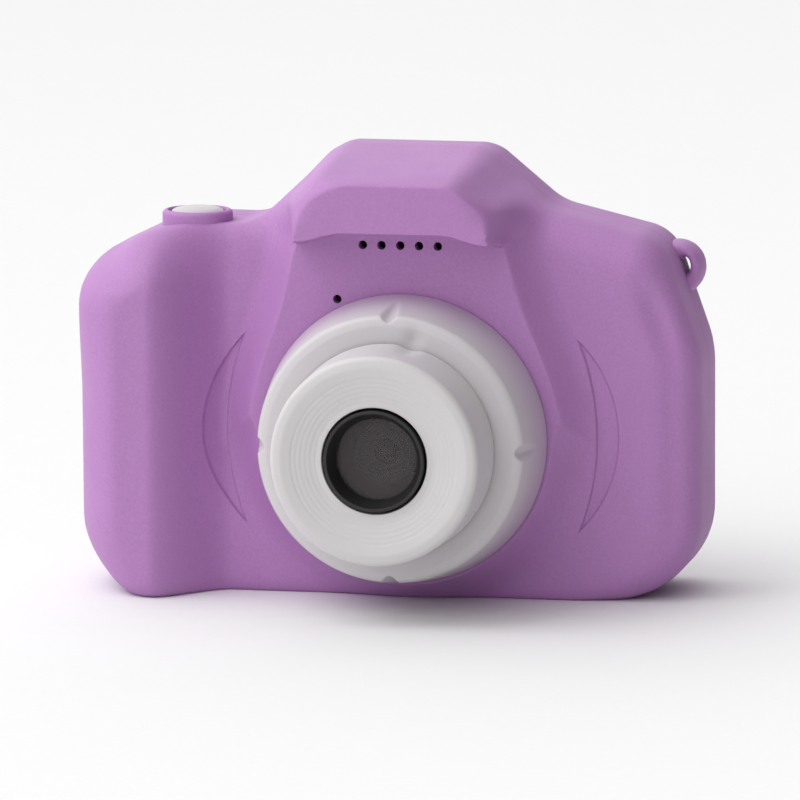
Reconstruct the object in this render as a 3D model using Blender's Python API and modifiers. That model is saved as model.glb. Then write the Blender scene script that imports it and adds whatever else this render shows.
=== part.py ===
"""Kids digital camera: a two-part moulded case round a lens, a screen, a keypad and the electronics.

Sizes are in millimetres in the constants and become metres in the helpers. The design frame has +X to
the right as the camera faces you, +Y to the back, +Z up, and Y = 0 on the seam between the two shells.
An empty shifts it so that the finished camera stands on Z = 0 with its box centred on X = Y = 0.
"""

import math

import bmesh
import bpy
import numpy as np
from mathutils import Vector

MM = 0.001

# ---------------------------------------------------------------- driving dimensions
WALL = 1.6             # moulded wall of both shells
GAP = 0.3              # clearance between neighbouring pieces
FRONT_FACE = 9.5       # seam to the main front face
COLUMN_RISE = 4.5      # the raised centre column, above the front face
BROW_RISE = 5.5        # the brow over the speaker holes, above the column
GRIP_RISE = 7.8        # the finger grip, above the front face
REAR_FACE = 10.5       # seam to the flat back
LENS_X, LENS_Z = 3.7, 20.9
HUMP_X = 3.2
HUMP_SLOPE = 7.8       # how fast the hump's top runs forward for each millimetre down
COLUMN_FACE = FRONT_FACE + COLUMN_RISE
LENS_REACH = 18.8      # the lens tube stands this far out of the column
KEYS_PROUD = 0.9       # the keys stand this far out of the back
DEPTH_FRONT = COLUMN_FACE + LENS_REACH
DEPTH_BACK = REAR_FACE + KEYS_PROUD
SEAM_Y = (DEPTH_FRONT - DEPTH_BACK) / 2    # puts the box's middle on Y = 0

# corners of the case outline as (x, z, fillet radius), anticlockwise seen from the front
OUTLINE = (
    (-39.85, 0.0, 9.5),
    (39.85, 0.0, 10.5),
    (39.85, 31.0, 14.0),
    (34.8, 45.4, 6.0),
    (20.4, 48.9, 8.0),
    (11.9, 56.0, 5.4),
    (-7.4, 56.1, 4.5),
    (-16.6, 46.6, 7.0),
    (-27.6, 46.8, 18.0),
    (-39.85, 40.9, 8.0),
)
ARC_STEP = math.radians(13)
LINE_STEP = 3.9

OPENING_R = 16.2       # hole in the front shell that the lens ring plugs into
PEDESTAL_R = 19.0      # round end of the column, concentric with the lens
HOLE_R = 0.55          # speaker and microphone holes
SPEAKER_HOLES = [(HUMP_X + 0.15 + 2.38 * i, 45.1) for i in range(-2, 3)]
MIC_HOLE = (-4.7, 38.2)

SHUTTER_X, SHUTTER_Y = -24.6, -5.2
COLLAR_R, COLLAR_TOP = 4.45, 48.0
SHUTTER_R = 3.35

SCREEN_X, SCREEN_Z = 7.4, 24.0
SCREEN_W, SCREEN_H = 44.0, 34.0
PAD_X, PAD_Z = -26.0, 22.0
PAD_INNER, PAD_OUTER, PAD_SPREAD = 4.7, 9.0, math.radians(37)
OK_R, SMALL_KEY_R = 3.4, 2.4
POWER_KEY, MODE_KEY = (-30.8, 37.8), (-20.8, 37.8)
SWITCH_FLOOR = 2.2     # back face of the main board, where the key switches stand

BOARD_FRONT, BOARD_BACK = 0.7, 1.9
BOARD_W, BOARD_H = 66.0, 36.0
CASE_SCREWS = ((-33.8, 32.2), (-32.2, 8.0), (33.4, 29.0), (33.4, 10.0))
PORT_X, PORT_W = -18.2, 20.8
PORT_Y, PORT_D = 3.5, 3.4
EYELET_X, EYELET_Z, EYELET_R = 35.2, 40.7, 3.55

ROUND = 40             # segments round a large turned piece
SMALL_ROUND = 20       # segments round a button or a screw

# ---------------------------------------------------------------- scene, materials, small helpers


def clear_scene():
    for obj in list(bpy.data.objects):
        bpy.data.objects.remove(obj, do_unlink=True)
    for mesh in list(bpy.data.meshes):
        bpy.data.meshes.remove(mesh)


def new_collection(name):
    collection = bpy.data.collections.new(name)
    bpy.context.scene.collection.children.link(collection)
    return collection


def plastic(name, colour, roughness=0.5, metallic=0.0):
    """A Principled material of one colour."""
    made = bpy.data.materials.new(name)
    made.use_nodes = True
    shader = made.node_tree.nodes["Principled BSDF"]
    shader.inputs["Base Color"].default_value = (*colour, 1.0)
    shader.inputs["Roughness"].default_value = roughness
    shader.inputs["Metallic"].default_value = metallic
    return made


clear_scene()
camera_parts = new_collection("kids_camera")
cutters = new_collection("cutters")
frame = bpy.data.objects.new("camera_frame", None)
frame.location = (0.0, SEAM_Y * MM, 0.0)
camera_parts.objects.link(frame)

LILAC = plastic("lilac_plastic", (0.46, 0.22, 0.60), 0.55)
WHITE = plastic("white_plastic", (0.80, 0.79, 0.80), 0.45)
BLACK = plastic("black_plastic", (0.02, 0.02, 0.02), 0.4)
GLASS = plastic("dark_glass", (0.05, 0.05, 0.055), 0.1)
BOARD = plastic("circuit_board", (0.03, 0.22, 0.10), 0.5)
METAL = plastic("plated_steel", (0.62, 0.62, 0.62), 0.3, 1.0)
FOAM = plastic("black_foam", (0.03, 0.03, 0.03), 0.95)
RUBBER = plastic("lilac_rubber", (0.44, 0.21, 0.58), 0.8)
POUCH = plastic("battery_foil", (0.60, 0.60, 0.63), 0.4, 0.6)
RIBBON = plastic("ribbon_cable", (0.55, 0.28, 0.05), 0.5)
RED_WIRE = plastic("red_wire", (0.60, 0.03, 0.03), 0.5)
BLACK_WIRE = plastic("black_wire", (0.02, 0.02, 0.02), 0.5)
CHIP = plastic("chip_resin", (0.03, 0.03, 0.03), 0.6)


def place(obj, material=None, cutter=False):
    """Puts a new object in its collection, under the frame."""
    for collection in obj.users_collection:
        collection.objects.unlink(obj)
    (cutters if cutter else camera_parts).objects.link(obj)
    obj.parent = frame
    if cutter:
        obj.hide_render = True
        obj.display_type = "WIRE"
    elif material is not None:
        obj.data.materials.append(material)
    return obj


def mesh_object(name, points, faces, material=None, cutter=False):
    """A mesh from points in millimetres, with its normals turned outwards."""
    mesh = bpy.data.meshes.new(name)
    mesh.from_pydata([Vector(p) * MM for p in points], [], faces)
    work = bmesh.new()
    work.from_mesh(mesh)
    bmesh.ops.recalc_face_normals(work, faces=work.faces)
    work.to_mesh(mesh)
    work.free()
    return place(bpy.data.objects.new(name, mesh), material, cutter)


def box(name, centre, size, material=None, cutter=False, bevel=0.0):
    """A box with its edges optionally rounded."""
    mesh = bpy.data.meshes.new(name)
    work = bmesh.new()
    bmesh.ops.create_cube(work, size=1.0)
    bmesh.ops.scale(work, vec=Vector(size) * MM, verts=work.verts)
    work.to_mesh(mesh)
    work.free()
    obj = place(bpy.data.objects.new(name, mesh), material, cutter)
    obj.location = Vector(centre) * MM
    if bevel:
        edges = obj.modifiers.new("edges", "BEVEL")
        edges.width = bevel * MM
        edges.segments = 2
    return obj


TURN = {
    "front": (math.radians(90), 0.0, 0.0),    # local +Z points to the front, -Y
    "back": (math.radians(-90), 0.0, 0.0),    # local +Z points to the back, +Y
    "up": (0.0, 0.0, 0.0),
}


def cylinder(name, centre, radius, low, high, way, material=None, cutter=False, segments=SMALL_ROUND):
    """A cylinder from low to high along a way, measured from the centre point."""
    mesh = bpy.data.meshes.new(name)
    work = bmesh.new()
    bmesh.ops.create_cone(
        work, cap_ends=True, segments=segments, radius1=radius * MM, radius2=radius * MM,
        depth=(high - low) * MM,
    )
    bmesh.ops.translate(work, vec=(0, 0, (low + high) / 2 * MM), verts=work.verts)
    work.to_mesh(mesh)
    work.free()
    obj = place(bpy.data.objects.new(name, mesh), material, cutter)
    obj.location = Vector(centre) * MM
    obj.rotation_euler = TURN[way]
    return obj


def turned(name, centre, profile, way, material=None, cutter=False, segments=ROUND, ring=False):
    """A turned piece. The profile is (radius, height) points running down the outer side. A ring's
    profile is a closed loop clear of the axis, any other starts and ends on the axis."""
    mesh = bpy.data.meshes.new(name)
    edges = [(i, i + 1) for i in range(len(profile) - 1)]
    if ring:
        edges.append((len(profile) - 1, 0))
    mesh.from_pydata([(r * MM, 0.0, z * MM) for r, z in profile], edges, [])
    obj = place(bpy.data.objects.new(name, mesh), material, cutter)
    obj.location = Vector(centre) * MM
    obj.rotation_euler = TURN[way]
    screw = obj.modifiers.new("turn", "SCREW")
    screw.steps = segments
    screw.render_steps = segments
    screw.use_merge_vertices = True
    screw.merge_threshold = 0.00001
    return obj


def plate(name, points, centre, thickness, turn, material=None, cutter=False):
    """A flat outline of (across, up) points with a thickness, centred on a point."""
    curve = bpy.data.curves.new(name, "CURVE")
    curve.dimensions = "2D"
    curve.fill_mode = "BOTH"
    curve.extrude = thickness / 2 * MM
    spline = curve.splines.new("POLY")
    spline.points.add(len(points) - 1)
    for point, (u, v) in zip(spline.points, points):
        point.co = (u * MM, v * MM, 0.0, 1.0)
    spline.use_cyclic_u = True
    obj = place(bpy.data.objects.new(name, curve), material, cutter)
    obj.location = Vector(centre) * MM
    obj.rotation_euler = turn
    return obj


FACING_BACK = (math.radians(90), 0.0, 0.0)     # outline's up is +Z, its across is +X
FACING_DOWN = (0.0, 0.0, 0.0)                  # outline's up is +Y, its across is +X
FACING_SIDE = (math.radians(90), 0.0, math.radians(90))    # outline's up is +Z, its across is +Y


def rounded_rectangle(width, height, radius, steps=4):
    """Corner arcs of a rectangle centred on the origin, anticlockwise."""
    points = []
    for quarter, (sx, sz) in enumerate(((1, 1), (-1, 1), (-1, -1), (1, -1))):
        for step in range(steps + 1):
            angle = math.radians(90) * (quarter + step / steps)
            across = sx * (width / 2 - radius) + radius * math.cos(angle)
            up = sz * (height / 2 - radius) + radius * math.sin(angle)
            points.append((across, up))
    return points


def ring_sector(inner, outer, middle, spread, grow=0.0, steps=7):
    """A quarter key of the direction pad: a sector of a ring, grown all round by a clearance."""
    points = []
    for radius, way in ((outer + grow, 1), (inner - grow, -1)):
        half = spread + math.asin(grow / radius)
        for step in range(steps + 1):
            angle = middle + way * half * (2 * step / steps - 1)
            points.append((radius * math.cos(angle), radius * math.sin(angle)))
    return points


def as_mesh(obj):
    """Turns a curve piece into a mesh, so that a Boolean can use it."""
    bpy.context.view_layer.update()
    graph = bpy.context.evaluated_depsgraph_get()
    mesh = bpy.data.meshes.new_from_object(obj.evaluated_get(graph))
    work = bmesh.new()
    work.from_mesh(mesh)
    bmesh.ops.remove_doubles(work, verts=work.verts, dist=0.000001)
    bmesh.ops.recalc_face_normals(work, faces=work.faces)
    work.to_mesh(mesh)
    work.free()
    name, cutter = obj.name, obj.hide_render
    matrix = obj.matrix_world.copy()
    bpy.data.objects.remove(obj, do_unlink=True)
    made = place(bpy.data.objects.new(name, mesh), None, cutter)
    made.matrix_world = matrix
    return made


def combine(target, other, operation):
    """Cuts other from target, or joins it on. Other then only guides the Boolean."""
    step = target.modifiers.new(operation.lower() + "_" + other.name, "BOOLEAN")
    step.operation = operation
    step.solver = "EXACT"
    step.object = other


def cut(target, other):
    combine(target, other, "DIFFERENCE")


def join(target, other):
    combine(target, other, "UNION")


# ---------------------------------------------------------------- the case's shape


def smooth(low, high, value):
    """0 below low, 1 above high, and an S curve between."""
    t = np.clip((value - low) / (high - low), 0.0, 1.0)
    return t * t * (3.0 - 2.0 * t)


def bell(distance, width):
    """1 at zero distance, fading to 0 over about two widths."""
    return np.exp(-((distance / width) ** 2))


def outline_points(arc_step=ARC_STEP, line_step=LINE_STEP):
    """Points round the outline and the outward normal at each: straight runs joined by fillets."""
    corners = [np.array(c[:2]) for c in OUTLINE]
    count = len(corners)
    arcs = []
    for i, (x, z, radius) in enumerate(OUTLINE):
        here = corners[i]
        back = corners[i - 1] - here
        ahead = corners[(i + 1) % count] - here
        back, ahead = back / np.linalg.norm(back), ahead / np.linalg.norm(ahead)
        turn = math.pi - math.acos(np.clip(back @ ahead, -1, 1))
        reach = radius * math.tan(turn / 2)
        convex = ahead[0] * back[1] - ahead[1] * back[0] > 0
        middle = (back + ahead) / np.linalg.norm(back + ahead)
        centre = here + middle * radius / math.cos(turn / 2)
        steps = max(2, math.ceil(turn / arc_step))
        start = here + back * reach - centre
        sign = 1.0 if convex else -1.0
        points = []
        for k in range(steps + 1):
            a = sign * turn * k / steps
            spoke = np.array((
                start[0] * math.cos(a) - start[1] * math.sin(a),
                start[0] * math.sin(a) + start[1] * math.cos(a),
            ))
            points.append((centre + spoke, sign * spoke / radius))
        arcs.append(points)
    ring = []
    for i, points in enumerate(arcs):
        ring.extend(points)
        (a, normal), b = points[-1], arcs[(i + 1) % count][0][0]
        pieces = max(1, math.ceil(np.linalg.norm(b - a) / line_step))
        ring.extend((a + (b - a) * k / pieces, normal) for k in range(1, pieces))
    return np.array([p for p, _ in ring]), np.array([n for _, n in ring])


def outline_distance(points):
    """Distance of each (x, z) point from the case outline."""
    ring, _ = outline_points(math.radians(6), 50.0)
    ends = np.roll(ring, -1, axis=0)
    best = np.full(len(points), 1e9)
    for a, b in zip(ring, ends):
        along = b - a
        t = np.clip(((points - a) @ along) / (along @ along), 0.0, 1.0)
        best = np.minimum(best, np.linalg.norm(points - (a + t[:, None] * along), axis=1))
    return best


def column_distance(x, z):
    """Signed distance outside the raised column: a disc round the lens under a tapering neck."""
    disc = np.hypot(x - LENS_X, z - LENS_Z) - PEDESTAL_R
    share = np.clip((z - 24.0) / 22.0, 0.0, 1.0)
    half = PEDESTAL_R + share * (13.4 - PEDESTAL_R)
    neck = np.maximum(np.abs(x - LENS_X - share * (HUMP_X - LENS_X)) - half, 24.0 - z)
    blend = 5.0
    mix = np.clip(0.5 + 0.5 * (neck - disc) / blend, 0.0, 1.0)
    return neck * (1 - mix) + disc * mix - blend * mix * (1 - mix)


def brow_share(x, z, inset):
    """1 on the brow, 0 off it. Its sides curve over into its top, and its lower lip droops at both ends."""
    side = np.abs(x - HUMP_X)
    lip = 46.9 - 1.3 * smooth(6.0, 12.6, side) + inset
    around = ((side / (12.5 - inset)) ** 2.3 + (np.maximum(z - 46.0, 0.0) / (7.9 - inset)) ** 2.3) ** (1 / 2.3)
    return smooth(lip - 0.35, lip + 0.35, z) * (1.0 - smooth(0.97, 1.10 + 0.17 * smooth(46.5, 50.5, z), around))


def front_height(x, z, inset=0.0):
    """How far the front surface stands out from the seam, before its edge is rounded."""
    off = np.clip((column_distance(x, z) + 0.5 + inset) / 5.0, 0.0, 1.0)
    column = (1.0 - off ** 2 / (off + 0.08)) ** 2.2
    grip = 1.0 - smooth(-28.8 - inset * 0.5, -19.4 - inset, x)
    grip = grip * (1.0 - 0.55 * smooth(38.0, 47.5, z))
    flank = 2.2 * smooth(45.5, 51.0, z)
    height = FRONT_FACE + (COLUMN_RISE + flank) * column + GRIP_RISE * grip
    return height + (BROW_RISE - flank) * brow_share(x, z, inset) - inset


def edge_valley(x, z, near):
    """Depth of the shallow valley that runs up beside the right edge and deepens at its shoulder."""
    along = smooth(3.0, 11.0, z) * (1.0 - smooth(37.0, 43.0, z)) * smooth(28.0, 32.0, x)
    return (0.6 + 0.5 * bell(z - 36.0, 4.0)) * bell(near - 3.1, 1.8) * along


def edge_share(x, z, distance, height):
    """Share of the height reached at a distance in from the outline: a straight side, then a
    rounded edge. The hump's top is a plain slope down to the brow instead."""
    hump = smooth(48.5, 52.5, z)
    base = (1.0 - smooth(1.0, 9.0, z)) * smooth(-40.0, -28.0, x) * (1.0 - smooth(23.0, 37.0, x))
    shoulder = smooth(39.0, 45.0, z) * (1.0 - smooth(-20.0, -12.0, x)) * smooth(-36.0, -29.0, x)
    grip = 1.0 - smooth(-36.0, -26.0, x)
    reach = 5.2 + 3.3 * grip - 3.2 * base
    reach = reach + (3.0 - reach) * shoulder
    side = 0.45 + (0.12 * smooth(24.0, 36.0, z) - 0.37) * grip
    side = side + (0.9 - side) * base
    side = side + (0.82 - side) * shoulder
    t = np.clip(distance / reach, 0.0, 1.0)
    rounded = side + (1 - side) * (1.0 - (1.0 - t) ** 2.1) ** (1.0 / 2.1)
    ramp = (0.7 + HUMP_SLOPE * distance) / height
    mix = np.clip(0.5 + 2.0 * (1.0 - ramp), 0.0, 1.0)
    sloped = 1.0 + mix * (ramp - 1.0) - 0.25 * mix * (1.0 - mix)
    return rounded + (sloped - rounded) * hump


def surface_y(flat, inset=0.0):
    """Y of the front surface, or of the surface a wall's thickness inside it, at (x, z) points."""
    x, z = flat[:, 0], flat[:, 1]
    near = outline_distance(flat)
    height = front_height(x, z, inset) - edge_valley(x, z, near)
    return -height * edge_share(x, z, np.maximum(near - inset, 0.0), height)


def crowded(start, end, count, inset):
    """Points from each start to each end, closest together where the surface bends."""
    share = np.linspace(0.0, 1.0, 91)
    line = start[None] + share[:, None, None] * (end - start)[None]
    y = surface_y(line.reshape(-1, 2), inset).reshape(len(share), -1)
    bend = np.abs(y[2:] - 2 * y[1:-1] + y[:-2])
    bend = bend + 0.5 * (np.roll(bend, 1, axis=1) + np.roll(bend, -1, axis=1))
    density = np.vstack((bend[:1], bend, bend[-1:])) + 0.09
    passed = np.cumsum(density, axis=0)
    passed = (passed - passed[0]) / (passed[-1] - passed[0])
    wanted = np.linspace(0.0, 1.0, count + 1)[1:]
    shares = np.array([np.interp(wanted, column, share) for column in passed.T]).T
    return [start + s[:, None] * (end - start) for s in shares]


def front_surface(inset, band, count):
    """Rings of (x, y, z) points from the seam to the lens opening. Band holds the first rings'
    distances in from the outline, and count more lie between them and the opening."""
    ring, normals = outline_points()
    rim = ring - normals * inset
    spoke = rim - (LENS_X, LENS_Z)
    spoke = spoke / np.linalg.norm(spoke, axis=1)[:, None]
    mouth = np.array((LENS_X, LENS_Z)) + spoke * OPENING_R
    flats = [rim - normals * d for d in band]
    flats += crowded(flats[-1], mouth, count, inset)
    rings = [np.column_stack((rim[:, 0], np.full(len(rim), -GAP / 2), rim[:, 1]))]
    rings += [np.column_stack((flat[:, 0], surface_y(flat, inset), flat[:, 1])) for flat in flats]
    return rings


def loft(rings, closed):
    """Quads between neighbouring rings of equal counts. Closed joins the last ring to the first."""
    count = len(rings[0])
    points = np.concatenate(rings)
    faces = []
    last = len(rings) if closed else len(rings) - 1
    for r in range(last):
        a, b = r * count, ((r + 1) % len(rings)) * count
        for k in range(count):
            n = (k + 1) % count
            faces.append((a + k, a + n, b + n, b + k))
    return points, faces


# ---------------------------------------------------------------- shells


def crescent(name, side):
    """A cutter for one finger recess beside the lens: a bent bar between two arcs that meet at its
    tips. Its floor follows the surface a little way under it."""
    rings = []
    for angle in np.radians(np.linspace(-82, 82, 15)):
        up = 12.2 * math.sin(angle)
        outer = 9.5 + math.sqrt(16.9 ** 2 - up ** 2)
        inner = -8.6 + math.sqrt(32.2 ** 2 - up ** 2)
        flat = np.array([(LENS_X + side * across, LENS_Z + up) for across in (outer, (outer + inner) / 2, inner)])
        floor = np.column_stack((flat[:, 0], surface_y(flat) + 0.35, flat[:, 1]))
        rings.append(np.vstack((floor, floor[::-2] * (1, 0, 1) - (0, 20, 0))))
    points, faces = loft(rings, closed=False)
    faces.append(tuple(range(5)))
    faces.append(tuple(range(len(points) - 5, len(points))))
    return mesh_object(name, points, faces, cutter=True)


def make_front_shell():
    outer = front_surface(0.0, (0.0, 0.25, 0.8, 1.6), 20)
    inner = front_surface(WALL, (0.0, 0.5), 8)
    points, faces = loft(outer + inner[::-1], closed=True)
    shell = mesh_object("front_shell", points, faces, LILAC)

    collar = cylinder("collar", (SHUTTER_X, SHUTTER_Y, 0), COLLAR_R, 45.2, COLLAR_TOP, "up", cutter=True)
    join(shell, collar)
    for number, ((x, z), top) in enumerate(zip(CASE_SCREWS, (14.9, 13.6, 8.0, 8.0))):
        boss = cylinder(f"boss_{number}", (x, 0, z), 2.0, GAP / 2, top, "front", cutter=True, segments=12)
        join(shell, boss)
        pilot = cylinder(f"pilot_{number}", (x, 0, z), 1.2, -1.0, 6.5, "front", cutter=True, segments=10)
        cut(shell, pilot)
    bore = cylinder("shutter_bore", (SHUTTER_X, SHUTTER_Y, 0), SHUTTER_R + GAP, 42.0, 50.0, "up", cutter=True)
    cut(shell, bore)
    for number, (x, z) in enumerate([*SPEAKER_HOLES, MIC_HOLE]):
        hole = cylinder(f"sound_hole_{number}", (x, 0, z), HOLE_R, 9.0, 21.0, "front", cutter=True, segments=10)
        cut(shell, hole)
    cut(shell, crescent("crescent_left", -1))
    cut(shell, crescent("crescent_right", 1))
    return shell


def rear_rings():
    """Rings of the rear shell, from the middle of its back round the seam to its inner floor. Each is
    (distance in from the outline, y). A tongue reaches into the front shell all round."""
    corner, run, steps = 3.7, 6.5, 5
    outer = []
    for step in range(steps + 1):
        a = math.radians(90) * step / steps
        outer.append((corner * (1 - math.cos(a)), REAR_FACE - run * (1 - math.sin(a))))
    tongue_out = WALL + GAP
    tongue_in = tongue_out + 1.0
    seam = [(0.0, GAP / 2), (tongue_out, GAP / 2), (tongue_out, -1.5), (tongue_in, -1.5), (tongue_in, 1.4)]
    floor = REAR_FACE - 2.2
    inner = [(WALL, 3.0), (WALL, floor - 1.6), (WALL + 0.5, floor - 0.5), (WALL + 1.6, floor)]
    return outer[::-1] + seam + inner


def make_rear_shell():
    ring, normals = outline_points()
    rings = []
    for inset, y in rear_rings():
        flat = ring - normals * inset
        rings.append(np.column_stack((flat[:, 0], np.full(len(flat), y), flat[:, 1])))
    points, faces = loft(rings, closed=False)
    count = len(ring)
    faces.append(tuple(range(count)))
    faces.append(tuple(range(len(points) - count, len(points))))
    shell = mesh_object("rear_shell", points, faces, LILAC)

    for number, (x, z) in enumerate(CASE_SCREWS):
        low = SWITCH_FLOOR if x < 0 else GAP / 2
        sleeve = cylinder(f"sleeve_{number}", (x, 0, z), 2.9, low, 9.0, "back", cutter=True, segments=16)
        join(shell, sleeve)
    eyelet = cylinder("eyelet", (EYELET_X, 0, EYELET_Z), EYELET_R, 1.0, 6.4, "back", cutter=True, segments=24)
    join(shell, eyelet)
    slot = rounded_rectangle(1.2, 2.2, 0.55)
    slot_at = (EYELET_X + 1.35, 3.5, EYELET_Z + 0.45)
    cut(shell, as_mesh(plate("eyelet_slot", slot, slot_at, 8.4, FACING_BACK, cutter=True)))

    for number, (x, z) in enumerate(CASE_SCREWS):
        cut(shell, cylinder(f"screw_way_{number}", (x, 0, z), 1.2, -3.0, 12.0, "back", cutter=True, segments=12))
        cut(shell, cylinder(f"screw_well_{number}", (x, 0, z), 2.1, 6.4, 12.0, "back", cutter=True, segments=16))
    pocket = rounded_rectangle(SCREEN_W + 2 * GAP, SCREEN_H + 2 * GAP, 3.3)
    window = rounded_rectangle(SCREEN_W - 3.0, SCREEN_H - 3.0, 2.0)
    middle = (SCREEN_X, REAR_FACE, SCREEN_Z)
    cut(shell, as_mesh(plate("screen_pocket", pocket, middle, 2.2, FACING_BACK, cutter=True)))
    cut(shell, as_mesh(plate("screen_window", window, middle, 8.0, FACING_BACK, cutter=True)))
    cut(shell, cylinder("ok_hole", (PAD_X, 0, PAD_Z), OK_R + GAP, 7.0, 12.0, "back", cutter=True, segments=24))
    for name, (x, z) in (("power", POWER_KEY), ("mode", MODE_KEY)):
        cut(shell, cylinder(f"{name}_hole", (x, 0, z), SMALL_KEY_R + GAP, 7.0, 12.0, "back", cutter=True))
    for name, angle in DIRECTIONS:
        sector = ring_sector(PAD_INNER, PAD_OUTER, angle, PAD_SPREAD, GAP)
        cut(shell, as_mesh(plate(f"{name}_hole", sector, (PAD_X, 9.5, PAD_Z), 5.0, FACING_BACK, cutter=True)))
    mouth = rounded_rectangle(PORT_W + 2 * GAP, PORT_D + 2 * GAP, 1.9)
    cut(shell, as_mesh(plate("port_mouth", mouth, (PORT_X, PORT_Y, 1.5), 5.0, FACING_DOWN, cutter=True)))
    return shell


# ---------------------------------------------------------------- lens group

LENS_AT = (LENS_X, -COLUMN_FACE, LENS_Z)


def make_lens_group():
    ring_profile = [
        (13.0, 9.3), (15.5, 9.4), (16.35, 9.1), (16.85, 8.3), (18.2, GAP), (15.9, GAP), (15.9, -1.0),
        (4.6, -1.0), (4.6, 0.6), (14.6, 0.6), (14.6, 7.4), (12.5, 7.4), (12.5, 9.3),
    ]
    ring = turned("lens_base_ring", LENS_AT, ring_profile, "front", WHITE, segments=48, ring=True)
    for quarter in range(4):
        angle = math.radians(90 * quarter)
        at = (LENS_X + 17.2 * math.cos(angle), -COLUMN_FACE, LENS_Z + 17.2 * math.sin(angle))
        cut(ring, cylinder(f"notch_{quarter}", at, 1.1, 6.0, 11.0, "front", cutter=True, segments=12))

    tube_profile = [
        (6.6, 17.9), (7.4, 17.9), (10.4, 18.5), (10.9, LENS_REACH), (11.9, 18.6), (12.7, 18.1), (13.05, 17.2),
        (13.35, 9.7), (12.2, 9.7), (12.2, 6.6), (11.2, 6.6), (11.2, 16.4), (6.6, 16.2),
    ]
    tube = turned("lens_tube", LENS_AT, tube_profile, "front", WHITE, segments=48, ring=True)
    lean = math.radians(77)
    at = (LENS_X + 13.9 * math.cos(lean), -COLUMN_FACE, LENS_Z + 13.9 * math.sin(lean))
    cut(tube, cylinder("index_mark", at, 0.9, 8.0, 12.6, "front", cutter=True, segments=12))

    bezel_profile = [
        (5.95, 18.3), (6.2, 18.3), (6.3, 18.15), (6.3, 13.6), (6.1, 11.8), (5.6, 11.8), (5.6, 16.35), (5.0, 16.35),
        (5.1, 16.6),
    ]
    turned("lens_bezel", LENS_AT, bezel_profile, "front", BLACK, ring=True)
    cylinder("lens_window", LENS_AT, 5.3, 15.2, 16.05, "front", GLASS, segments=36)
    barrel_profile = [
        (0.0, 10.2), (2.0, 10.2), (2.3, 11.0), (3.0, 11.3), (3.8, 11.3), (4.0, 11.1), (4.0, 6.6), (3.7, 6.3),
        (3.7, -3.5), (0.0, -3.5),
    ]
    turned("lens_barrel", LENS_AT, barrel_profile, "front", BLACK, segments=32)
    dome = [(1.7 * math.sin(a), 9.55 + 1.7 * math.cos(a)) for a in np.radians((0, 18, 36, 50))]
    element_profile = [(0.0, dome[0][1]), *dome[1:], (1.65, 10.5), (0.0, 10.5)]
    turned("lens_element", LENS_AT, element_profile, "front", GLASS, segments=24)

    holder = box("lens_holder", (LENS_X, -COLUMN_FACE + 2.95, LENS_Z), (9.0, 3.3, 9.0), BLACK)
    cut(holder, cylinder("holder_bore", LENS_AT, 4.0, -6.0, 0.0, "front", cutter=True, segments=24))
    box("image_sensor", (LENS_X, -COLUMN_FACE + 4.3, LENS_Z), (4.8, 0.6, 4.2), CHIP)
    board = box("sensor_board", (LENS_X, -COLUMN_FACE + 5.3, LENS_Z), (15.0, 0.8, 10.0), BOARD)
    for number, side in enumerate((-1, 1), 1):
        at = (LENS_X + side * 6.2, -COLUMN_FACE, LENS_Z)
        cut(board, cylinder(f"module_screw_way_{number}", at, 0.85, -7.0, 0.0, "front", cutter=True, segments=12))
        screw = [(0.0, -1.4), (0.55, -1.4), (0.55, -6.0), (1.0, -6.0), (1.0, -6.7), (0.0, -6.7)]
        turned(f"module_screw_{number}", at, screw, "front", METAL, segments=14)
    bend = [
        (-7.9, 16.5), (-7.6, 16.5), (-7.6, 34.3), (-7.3, 34.6), (-0.6, 34.6), (-0.3, 34.9), (-0.3, 36.2),
        (-0.6, 36.2), (-0.6, 34.95), (-7.5, 34.9), (-7.9, 34.5),
    ]
    plate("sensor_flex", bend, (LENS_X, 0, 0), 6.0, FACING_SIDE, RIBBON)


# ---------------------------------------------------------------- electronics


def wire(name, points, material, radius=0.45):
    """An insulated lead along a smooth route through a few points."""
    curve = bpy.data.curves.new(name, "CURVE")
    curve.dimensions = "3D"
    curve.bevel_depth = radius * MM
    curve.bevel_resolution = 1
    curve.use_fill_caps = True
    route = smooth_route(points, 5)
    spline = curve.splines.new("POLY")
    spline.points.add(len(route) - 1)
    for point, where in zip(spline.points, route):
        point.co = (*(where * MM), 1.0)
    return place(bpy.data.objects.new(name, curve), material)


def smooth_route(points, steps):
    """A Catmull-Rom curve through the points."""
    p = [np.array(q, float) for q in points]
    p = [2 * p[0] - p[1], *p, 2 * p[-1] - p[-2]]
    route = []
    for a, b, c, d in zip(p, p[1:], p[2:], p[3:]):
        for k in range(steps):
            t = k / steps
            route.append(0.5 * (
                2 * b + (c - a) * t + (2 * a - 5 * b + 4 * c - d) * t ** 2 + (3 * b - a - 3 * c + d) * t ** 3
            ))
    return [*route, p[-2]]


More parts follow.
